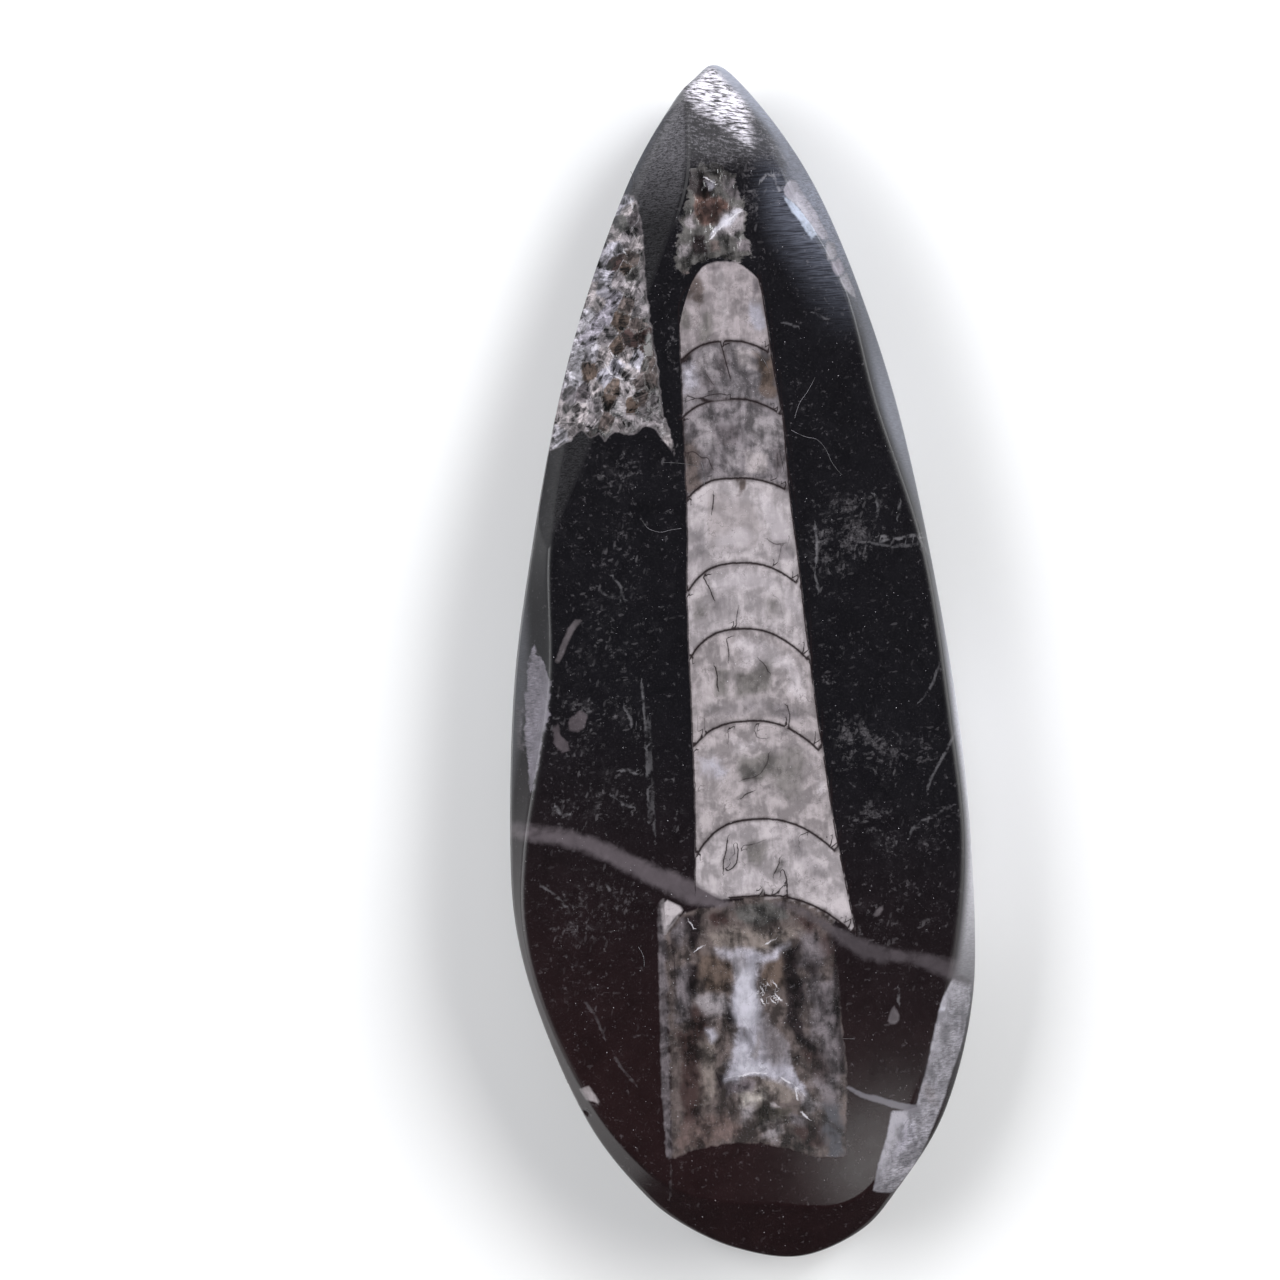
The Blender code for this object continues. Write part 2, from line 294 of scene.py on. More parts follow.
FACE_ABOVE, FLAT_ABOVE = 9, 8             # higher than this are face and flat

COLUMNS_PER_SIDE, OUTLINE_STEPS = 300, 900
FACE_RINGS, BACK_RINGS, RING_GAP = 54, 7, 1.6
CORNER = {"rim": 0.3, "bevel": 0.22, "side": 1.0}   # rounding of the profile's corners


def closed_curve(knots, places):
    """Smooth closed curve through the rows of knots; whole places are the knots."""
    i = np.floor(places).astype(int)
    t = (places - i)[:, None]
    before, a, b, after = (knots[(i + k) % len(knots)] for k in (-1, 0, 1, 2))
    return 0.5 * (
        2 * a + (b - before) * t
        + (2 * before - 5 * a + 4 * b - after) * t ** 2
        + (3 * a - 3 * b + after - before) * t ** 3
    )


def side_points(last_place):
    """Evenly spaced points (x, y, bevel) down one side, from the point to the butt."""
    fine = closed_curve(EDGE, np.linspace(0, last_place, 6000))
    walked = np.append(0, np.cumsum(np.hypot(*np.diff(fine[:, :2], axis=0).T)))
    wanted = np.linspace(0, walked[-1], COLUMNS_PER_SIDE + 1)
    return np.stack([np.interp(wanted, walked, fine[:, k]) for k in range(3)], axis=1)


def middle_line(y):
    """X of the stone's middle, which swings a little to the right at both ends."""
    return 0.1 + 1.5 * (y / 70) ** 2


def face_height(x, y):
    """Height of the crowned face, bending down into the nose."""
    across = (x - middle_line(y)) / (WIDTH / 2)
    toward_butt = np.maximum(0, CROWN_BUTT_FROM - y) / (LENGTH / 2 + CROWN_BUTT_FROM)
    toward_tip = np.maximum(0, y - CROWN_TIP_FROM) / (LENGTH / 2 - CROWN_TIP_FROM)
    height = THICKNESS - CROWN_ACROSS * across ** 2
    height = height - CROWN_BUTT * toward_butt ** 2 - CROWN_TIP * toward_tip ** 2
    for start, slope, blend in NOSE_FACETS:
        past = y - start
        height = height - slope * 0.5 * (past + np.sqrt(past * past + blend ** 2))
    return height


def flat_height(x, y):
    return LEFT_FLAT[0] + LEFT_FLAT[1] * x + LEFT_FLAT[2] * y


def distance_to_path(points, path, closed=False):
    """Distance from each point to a polyline, which side it is on, and how far along."""
    ends = np.roll(path, -1, axis=0) if closed else path[1:]
    starts = path if closed else path[:-1]
    best = np.full(len(points), 1e9)
    side, along = np.zeros(len(points)), np.zeros(len(points))
    for n, (a, b) in enumerate(zip(starts, ends)):
        span = b - a
        size = max(float(span @ span), 1e-12)
        t = np.clip((points - a) @ span / size, 0, 1)
        off = points - a - t[:, None] * span
        far = np.hypot(off[:, 0], off[:, 1])
        near = far < best
        best = np.where(near, far, best)
        cross = span[0] * off[:, 1] - span[1] * off[:, 0]
        side = np.where(near, np.sign(cross), side)
        along = np.where(near, (n + t) / len(starts), along)
    return best, side, along


print(f"edge runs through {len(EDGE)} points")

# %% Columns from the edge to the spine
class Columns:
    """Lines that run in from the edge to the spine of the stone, all round it."""

    def __init__(self):
        sides = [side_points(way) for way in (BUTT_POINT, BUTT_POINT - len(EDGE))]
        y = np.clip((sides[0][:, 1] + sides[1][:, 1]) / 2, SPINE_LOW, SPINE_HIGH)
        spine = np.stack([middle_line(y), y], axis=1)
        self.edge = np.concatenate([sides[0][:-1, :2], sides[1][:0:-1, :2]])
        self.bevel = np.concatenate([sides[0][:-1, 2], sides[1][:0:-1, 2]])
        inward = np.concatenate([spine[:-1], spine[:0:-1]]) - self.edge
        self.reach = np.hypot(*inward.T)
        self.step = inward / self.reach[:, None]
        steps = np.linspace(0, len(EDGE), OUTLINE_STEPS, endpoint=False)
        self.outline = closed_curve(EDGE, steps)[:, :2]

    def along(self, travel):
        return self.edge + self.step * np.asarray(travel)[:, None]

    def depth(self, places):
        """Distance from each place to the outline, measured to its straight pieces."""
        a, b = self.outline[None], np.roll(self.outline, -1, axis=0)[None]
        span = b - a
        t = ((places[:, None] - a) * span).sum(-1) / (span * span).sum(-1)
        off = places[:, None] - a - np.clip(t, 0, 1)[..., None] * span
        return np.sqrt((off ** 2).sum(-1).min(axis=1))

    def inset(self, depth):
        """Distance along each column at which it lies this deep inside the edge."""
        low, high = np.zeros(len(self.edge)), self.reach * 0.97
        for _ in range(14):
            middle = (low + high) / 2
            near = self.depth(self.along(middle)) < depth
            low, high = np.where(near, middle, low), np.where(near, high, middle)
        return high


def profile(columns):
    """Corners of the side's profile as (travel, height, rounding), from the back up."""
    near_tip = (columns.edge[:, 1] - UNDERCUT_FROM) / (LENGTH / 2 - UNDERCUT_FROM)
    near_tip = np.clip(near_tip, 0, 1)
    wider, taller = 1 + UNDERCUT_IN * near_tip ** 2, 1 + UNDERCUT_UP * near_tip ** 2
    corners = []
    for depth, height in reversed(BACK_ROUND):
        corners.append((columns.inset(depth * wider), height * taller, 0.5))
    bevel_in = columns.inset(columns.bevel)
    rim = face_height(*columns.along(bevel_in).T) - RIM_DROP[0] - RIM_DROP[1] * columns.bevel
    widest = rim * WIDEST_AT + UNDERCUT_UP * near_tip
    low_side = (BACK_ROUND[0][1] * taller + widest) / 2
    corners.append((columns.inset(SIDE_LEAN), low_side, CORNER["side"]))
    corners.append((0 * columns.reach, widest, CORNER["side"]))
    corners.append((columns.inset(SIDE_LEAN / 3), rim * 0.8, CORNER["side"]))
    corners.append((columns.inset(RIM_INSET), rim, CORNER["rim"]))
    return corners, bevel_in


def round_corner(before, corner, after, radius):
    """Three points that take the place of a sharp corner of the profile."""
    def toward(other):
        gap = np.maximum(np.hypot(other[0] - corner[0], other[1] - corner[1]), 1e-6)
        share = np.minimum(radius / gap, 0.45)
        return [corner[k] + (other[k] - corner[k]) * share for k in (0, 1)]

    low, high = toward(before), toward(after)
    middle = [(low[k] + high[k]) / 4 + corner[k] / 2 for k in (0, 1)]
    return [low, middle, high]


def stone_rings(columns):
    """All rings of the stone, from the middle of the back over the edge to the spine."""
    corners, bevel_in = profile(columns)
    face = [bevel_in + (columns.reach - bevel_in) * n / FACE_RINGS for n in range(FACE_RINGS + 1)]
    face = [(travel, face_height(*columns.along(travel).T)) for travel in face]
    back = [
        (corners[0][0] + (columns.reach - corners[0][0]) * (1 - n / BACK_RINGS), 0 * columns.reach)
        for n in range(BACK_RINGS)
    ]
    first, second = face[0], face[1]
    corners = [(c[0], c[1] + 0 * columns.reach, c[2]) for c in corners]
    corners.append((first[0], first[1], CORNER["bevel"]))
    rings = list(back)
    for n, corner in enumerate(corners):
        before = corners[n - 1][:2] if n else back[-1]
        after = corners[n + 1][:2] if n + 1 < len(corners) else second
        rings += round_corner(before, corner[:2], after, corner[2])
        if n + 1 < len(corners):    # even steps up to the next corner
            gap = np.hypot(after[0] - corner[0], after[1] - corner[1]).max()
            extra = int(gap / RING_GAP)
            for k in range(1, extra + 1):
                share = k / (extra + 1)
                rings.append([corner[j] + (after[j] - corner[j]) * share for j in (0, 1)])
    rings += face[1:]
    return [np.column_stack([columns.along(travel), height]) for travel, height in rings]


columns = Columns()
rings = stone_rings(columns)
print(f"{len(columns.edge)} columns, {len(rings)} rings")

# %% [markdown]
# ## From rings to one closed mesh
# Rings of equal length make quads by themselves, and the last ring folds shut along the
# spine once its doubled points are merged. The flat on the left of the point is a plane: an
# edge is cut in where the plane meets the face, and what stands above it comes down to it.
# Where crystals will be broken out of the face, the mesh is split once more.

# %% Loft, flat and finer patches
FINE_PLACES = [     # centre x, y, half width, half length, lean in degrees
    (-13.4, 40.5, 7.6, 17.0, -19.0),
    (1.4, 55.0, 5.2, 9.5, 4.0),
    (0.5, -44.0, 8.5, 14.5, 0.0),
    (13.8, 51.0, 3.4, 9.0, 24.0),
]
EDGE_CHIPS = [      # centre x, y, z and radii
    (-21.3, -53.6, 19.6, 1.6, 1.0, 1.2), (27.9, -31.0, 18.0, 0.5, 1.0, 0.9),
]


def in_place(place, x, y):
    """0 in the middle of an oval place, 1 on its outline."""
    turn = radians(place[4])
    dx, dy = x - place[0], y - place[1]
    across = (dx * cos(turn) + dy * sin(turn)) / place[2]
    along = (dy * cos(turn) - dx * sin(turn)) / place[3]
    return np.sqrt(across ** 2 + along ** 2)


def loft(rings):
    """Joins rings of equal length into one closed mesh."""
    count = len(rings[0])
    here = np.arange(count)
    left = np.roll(here, 1)
    band = np.stack([left, here, here + count, left + count], 1)
    faces = [band + n * count for n in range(len(rings) - 1)]
    mesh = bpy.data.meshes.new("loft")
    mesh.from_pydata(np.concatenate(rings).tolist(), [], np.concatenate(faces).tolist())
    bm = bmesh.new()
    bm.from_mesh(mesh)
    bpy.data.meshes.remove(mesh)
    bmesh.ops.remove_doubles(bm, verts=bm.verts, dist=0.012)
    bmesh.ops.dissolve_degenerate(bm, edges=bm.edges, dist=0.001)
    bmesh.ops.recalc_face_normals(bm, faces=bm.faces)
    return bm


def grind_flat(bm):
    """Brings all that stands above the flat on the left of the point down to it."""
    a, b, c = LEFT_FLAT
    geometry = list(bm.verts) + list(bm.edges) + list(bm.faces)
    normal = Vector((-b, -c, 1.0)).normalized()
    bmesh.ops.bisect_plane(bm, geom=geometry, dist=0.004, plane_co=(0, 0, a), plane_no=normal)
    for v in bm.verts:
        if v.co.z > FLAT_ABOVE:
            v.co.z = min(v.co.z, flat_height(v.co.x, v.co.y))


def stand_on_origin(bm):
    """Puts the middle of the stone's box over the origin, at its exact length and width."""
    xs, ys = [v.co.x for v in bm.verts], [v.co.y for v in bm.verts]
    middle = Vector(((min(xs) + max(xs)) / 2, (min(ys) + max(ys)) / 2, 0))
    stretch = (WIDTH / (max(xs) - min(xs)), LENGTH / (max(ys) - min(ys)), 1)
    bmesh.ops.translate(bm, vec=-middle, verts=bm.verts)
    bmesh.ops.scale(bm, vec=stretch, verts=bm.verts)


def halve(bm, edges):
    bmesh.ops.subdivide_edges(bm, edges=edges, cuts=1, use_grid_fill=True)


def split_places(bm):
    """Halves the mesh lines of the face in the places that carry relief."""
    def fine(v):
        return any(in_place(place, v.co.x, v.co.y) < 1 for place in FINE_PLACES)

    chosen = [e for e in bm.edges if e.verts[0].co.z > FACE_ABOVE and all(map(fine, e.verts))]
    halve(bm, chosen)


def split_round_chips(bm):
    """Quarters the mesh lines round each chip, so that so small a hollow has its own faces."""
    def near(v, reach):
        return any((v.co - Vector(c[:3])).length < reach * max(c[3:]) + 0.4 for c in EDGE_CHIPS)

    for reach in (1.5, 1.1):
        halve(bm, [e for e in bm.edges if near(e.verts[0], reach)])


bm = loft(rings)
grind_flat(bm)
stand_on_origin(bm)
split_places(bm)
split_round_chips(bm)
bmesh.ops.triangulate(bm, faces=[f for f in bm.faces if len(f.verts) > 4])
bmesh.ops.recalc_face_normals(bm, faces=bm.faces)
triangles = sum(len(f.verts) - 2 for f in bm.faces)
print(f"{len(bm.verts)} points, {triangles} triangles")

# %% [markdown]
# ## Chips along the edge
# Two shell-like chips sit on the bevel, where the mesh is finer. Each is an oval dent: a
# point of the stone that lies inside it moves back along its own normal until it is out.

# %% Chips
DEEPEST_CHIP = 0.9


def dent(bm, chip):
    """Sinks one chip into the stone and returns how many points it moved."""
    centre, radii = Vector(chip[:3]), Vector(chip[3:])
    moved = 0
    for v in bm.verts:
        off = v.co - centre
        if any(abs(off[k]) > radii[k] for k in range(3)):
            continue
        q = Vector([off[k] / radii[k] for k in range(3)])
        if q.length >= 1:
            continue
        d = Vector([-v.normal[k] / radii[k] for k in range(3)])
        b, c = q.dot(d), q.length_squared - 1
        travel = (-b + (b * b - d.length_squared * c) ** 0.5) / d.length_squared
        v.co = v.co - v.normal * min(travel, DEEPEST_CHIP)
        moved += 1
    return moved


bm.normal_update()
print("points moved by each chip:", [dent(bm, chip) for chip in EDGE_CHIPS])
stone_mesh = bpy.data.meshes.new("orthoceras")
bm.to_mesh(stone_mesh)
bm.free()

# %% [markdown]
# ## What is drawn in the stone
# The markings are real things cut through by the polish: a shell with its septa, a vein
# that has shifted it, spar that grew in a hollow, a band of calcite near the edge. Each has
# an outline, measured in millimetres, and the mesh carries distances to those outlines as
# attributes. A finish that reads a distance can draw an edge far sharper than the mesh,
# because a distance changes evenly from point to point.

# %% Reading tables of marks
def table(text):
    """Rows of words and numbers. An indented line carries on the row above it."""
    rows = []
    for line in text.strip().splitlines():
        cells = [float(cell) if cell[-1].isdigit() else cell for cell in line.split()]
        if line[0] == " ":
            rows[-1] += cells
        elif line[0] != "#":
            rows.append(cells)
    return rows


def grouped(cells, size=2):
    """Cells taken together by twos or threes."""
    return [tuple(cells[n:n + size]) for n in range(0, len(cells), size)]


# %% Outlines in millimetres
# The shell's walls: side, then y and x of each point from the narrow end down
SHELL_LEFT, SHELL_RIGHT = (grouped(row[1:]) for row in table("""
left 48.5 -1.9 47.4 -2.3 46.2 -2.6 45.2 -3 44.4 -3.6 43.4 -4.05 42 -4.15 36 -4.2 30 -4.3 25 -4.35
    20 -4.35 15 -4.5 10 -4.85 5 -5 -5 -5.1 -15 -5.2 -20 -5.4 -23 -5.55 -27.3 -5.8
right 48 4.6 46.2 5.6 44 6 41 6.3 39 6.5 36 6.75 34 7 31 7.4 29 7.7 26 7.8 21 7.95 18 8.1 14.5 8.4
    12 8.6 8 8.85 5 9 1 9.3 -3 9.6 -8 10 -11 10.35 -16 10.85 -19 11.15 -22 11.5 -26 12.1 -30 12.7
    -33 13.15
"""))
SEPTA = [   # top of each arc x, y, and how far its left and right ends hang
    (1.5, 48.1, 3.4, 2.6), (1.6, 38.5, 2.2, 2.0), (1.5, 31.5, 1.9, 2.4), (1.2, 22.0, 2.3, 2.0),
    (1.5, 11.8, 3.2, 3.2), (1.4, 3.9, 3.3, 4.3), (1.9, -7.2, 2.8, 4.3), (2.2, -19.0, 4.0, 4.6),
    (1.8, -28.2, 3.6, 5.0),
]
ARC_POWERS, ARC_REACH = (3.0, 2.2), (1.4, 1.15)      # left and right; 1 reaches the wall
ARC_STEPS, LAST_LEFT, LAST_SPAN = 26, -9.6, (-1.4, 13.0)
VEIN_FLOOR = -1.3       # left of this the vein is the floor of the chambers
CHAMBER_FILL = [   # colour and mottling of each chamber, from the narrow end
    ("shell", 0.5), ("haze", 0.8), ("mist", 0.8), ("pearl", 0.42), ("pearl", 0.45), ("bone", 0.5),
    ("bone", 0.5), ("pearl", 0.45),
]
MOTTLE = {
    "body_chamber": 0.9, "shell_wall": 0.9, "edge_band": 0.5, "spindle": 0.3, "crystal_mass": 0.5,
    "grains_above": 1.1,
}
# The vein and its side branch: x, y and half width of each point
FAULT_LEFT, FAULT_STRAND, FAULT_RIGHT, BRANCH = (grouped(row[1:], 3) for row in table("""
left -28.5 -18.9 0.35 -25 -19.7 0.55 -22 -20 0.75 -20 -20.4 0.9 -18 -21.2 0.9 -16 -22.1 0.95 -14
    -23.3 1 -12 -24.4 1.05 -10 -25.5 1.15 -8 -26.4 1.25 -6 -27.6 1.1 -4 -28.5 0.75 -2.2 -29.1 0.35
    -1.2 -29.3 0.05
strand -28.5 -18 0.25 -25.5 -18.6 0.25 -22.5 -19 0.2 -20 -19.6 0.15
right 3.6 -29.1 0.1 6 -29.9 0.3 8 -31 0.42 10.2 -32.6 0.5 12 -34 0.8 14 -35.2 1.05 16 -36 0.85 18
    -36.3 0.6 20 -36.7 0.55 22 -37.4 0.85 24 -38.2 1.1 26 -38.7 1.4 28.5 -39.2 1.5
branch 11.3 -51.8 0.15 13 -52.9 0.3 15 -53.5 0.4 17 -54.3 0.45 19.5 -55 0.5
"""))

# Patches of calcite, and one painted reflection on the right bevel near the point: name, colour,
# opacity, raggedness, outline
PATCHES = [(*row[:4], grouped(row[4:])) for row in table("""
body_chamber drab 1 0.22 -9.65 -32 -8.5 -30.7 -7 -29.8 -5.5 -29.35 -3 -29.2 -1.5 -28.75 0 -28.45 1.8
    -28.3 4 -28.45 6 -28.85 8 -29.6 9.5 -30.5 10.6 -31.4 10.5 -34 10.8 -38 10.9 -42 11.1 -46 11.3
    -49 11.1 -52 10.9 -56 10.6 -60.2 8 -60.1 5.5 -59.6 4 -59 2 -58.35 0 -57.95 -2 -57.8 -4 -57.9 -6
    -58.15 -8 -58.6 -10.2 -59.3 -10.1 -55 -9.95 -48 -9.8 -40 -9.7 -36
shell_wall ash 0.85 0.15 -10.4 -28 -9.75 -30 -9.8 -36 -9.9 -42 -10.1 -50 -10.3 -59.2 -10.9 -59.5
    -11.1 -52 -10.95 -45 -10.7 -38
last_corner pearl 1 0.03 -9.65 -27.9 -7.25 -29.25 -8.6 -30.5 -9.65 -32
edge_band frost_grey 1 0.1 24.6 -39.3 25.6 -39 27 -40 26.6 -43 25.7 -46.5 24.9 -48.9 24 -51 22.7
    -54.6 21 -58.3 19.4 -61.3 17.6 -63.6 16.1 -65 14.8 -64.9 13.7 -64.5 14.5 -61.2 15.7 -58 16.4
    -54.9 18 -54.9 19.5 -54.6 19.9 -53 20.7 -50.6 21.5 -47.6 22.3 -44.6 22.9 -42.5 23.6 -41
crystal_mass smoke 1 0.25 -11 58.4 -8.6 57.2 -8.2 55 -8 53 -7.8 50 -7.9 47 -7.8 44 -7.6 41 -7.4 39
    -7.1 36.5 -6.9 34 -6.7 31 -6.2 28.6 -5.6 26.4 -5.5 25 -6.5 26.6 -7.6 28.2 -9 29 -10.2 27.8 -11.5
    27.9 -12.5 28.4 -13.8 27.2 -14.5 28.1 -15.6 27.6 -16.6 28.8 -18 27.6 -19.5 26.8 -21.5 26.4 -23
    29 -19 42 -15 51
grains_above moss 1 0.8 -1.8 59.4 0.8 60.2 2.8 59 3.9 56.8 4.5 54 4.2 51.2 4.9 48.6 3.4 48 1 48.7
    -1.6 48 -3.4 46.8 -4.2 47.8 -4.2 50 -3.3 51.8 -2.9 54.4 -2.3 57
bevel_spar frost 0.95 0.2 9.8 57.3 10.8 57.5 11.4 56.3 12.2 55 13.2 53 14.3 51 14.4 50.2 13.4 50.2
    12.6 51.3 11.8 52.6 11 54 10.1 55 9.2 55.7 9.3 56.6
bevel_glow glow 0.9 0.2 8.9 55.9 10.4 54.6 11.6 53.2 12.6 51.7 13 50.8 12.2 50.2 11.2 52 10.2 53.6
    9.4 54.9
small_cone_a frost_grey 0.9 0.08 14.1 50 15 49.8 15.3 48.3 14.8 47.7 14.1 47.6 13.9 48.6
small_cone_b lilac 0.9 0.08 14.4 47.4 15 47.5 15.5 48 16.1 46.4 15.7 45.8 15.1 45.6 14.6 46.5
small_cone_c frost_grey 0.8 0.08 15.3 45.3 15.8 45.6 16.3 46.1 17 44.2 17.4 42.8 16.7 43.2 15.8 44.3
spindle lilac 0.55 0.5 -23.7 3.2 -23.1 2 -22.4 0.4 -21.9 -1.4 -22 -4 -22.6 -6.4 -23.4 -9.4 -24.2
    -12.4 -24.9 -15 -25.1 -12 -25.3 -8.1 -25.1 -4 -24.6 0.2
spindle_outer ash 0.5 0.4 -26 -3.2 -26.4 -5 -26.5 -7 -26.2 -9 -25.8 -9.8 -25.8 -7 -25.7 -5
teardrop ash 0.95 0.05 17.3 -42.2 17.9 -43.3 17.8 -44.3 17.1 -44.6 16.5 -44.2 16.8 -43.1
fleck_top ash 0.9 0.1 15.4 -31.4 15.9 -30.5 16.6 -30.1 16.5 -31 15.9 -31.5
left_streak ash 0.75 0.12 -21.2 1 -20.6 1 -19.7 2.8 -18.8 4.6 -17.7 5.9 -18.5 6.1 -19.4 5 -20.2 3.4
ovoid_a plum 0.75 0.25 -19.6 -5.6 -18.6 -4.9 -17.6 -5.5 -17.9 -6.8 -19 -7.5 -20 -7.3 -20 -6.4
ovoid_b plum 0.6 0.3 -22 -6.6 -21.2 -6.5 -20.9 -7.9 -20.2 -8.6 -20 -9.6 -20.9 -10 -21.8 -8.6
chip_pale bone 0.9 0.1 -21 -50.4 -19.8 -50 -19.1 -51.2 -18.3 -52.6 -19.3 -51.9 -20.2 -51.7
nicks drab 0.9 0.3 18.4 -62.6 20.2 -61.6 20.4 -63 18.6 -65.2 16.4 -66.6 15.6 -66 16.6 -64.8
""")]
OUTLINE_OF = {name: outline for name, *_, outline in PATCHES}
COLOURS = {name: tuple(shade) for name, *shade in table("""
ivory 0.43 0.39 0.41
pearl 0.36 0.325 0.338
bone 0.31 0.276 0.284
shell 0.275 0.242 0.252
haze 0.15 0.135 0.145
mist 0.165 0.147 0.158
smoke 0.2 0.18 0.19
ash 0.115 0.1 0.108
drab 0.088 0.07 0.067
umber 0.085 0.062 0.052
peat 0.036 0.022 0.021
ink 0.014 0.01 0.011
sage 0.15 0.137 0.134
moss 0.07 0.066 0.064
frost 0.32 0.305 0.35
snow 0.46 0.445 0.5
lilac 0.26 0.24 0.28
frost_grey 0.27 0.258 0.285
glow 0.42 0.46 0.56
plum 0.108 0.09 0.1
rust 0.1 0.06 0.052
fawn 0.15 0.125 0.115
rose 0.105 0.075 0.07
cream 0.36 0.325 0.3
olive 0.05 0.043 0.037
slate 0.05 0.049 0.056
""")}
print(len(PATCHES), "patches in", len(COLOURS), "colours")

# %% [markdown]
# ## Clouds and cracks
# Inside the outlines the calcite is cloudy: milky rims, greyish cores, brown stains. Soft
# ovals of colour, laid over one another like washes of paint, give that. Their edges are
# pushed about by a little waviness so that none of them reads as an oval.
#
# Cracks, septa and shell walls are lines. A mesh point stores how far it is from the nearest
# line, once with a sign for the side it is on and once without. The signed distance draws
# the line; the plain one tells where the sign may be trusted.

# %% Washes of colour: x, y, half width, half length, lean, colour, strength
WASHES = table("""
# upper chambers
-3.6 36.4 0.9 0.7 20 ink 0.9
6 32.3 1 1.2 0 drab 0.8
-3.2 21.6 0.9 0.7 0 drab 0.6
0.8 19.7 1.2 0.5 0 ivory 0.8
# band by the right edge, darker towards the stone
24.8 -45.5 0.6 3 16 frost 0.5
18 -58.5 1.4 2.6 -26 frost 0.6
22.8 -43.2 0.5 0.5 0 snow 0.8
21.2 -53.5 0.9 2.2 26 smoke 0.5
""")

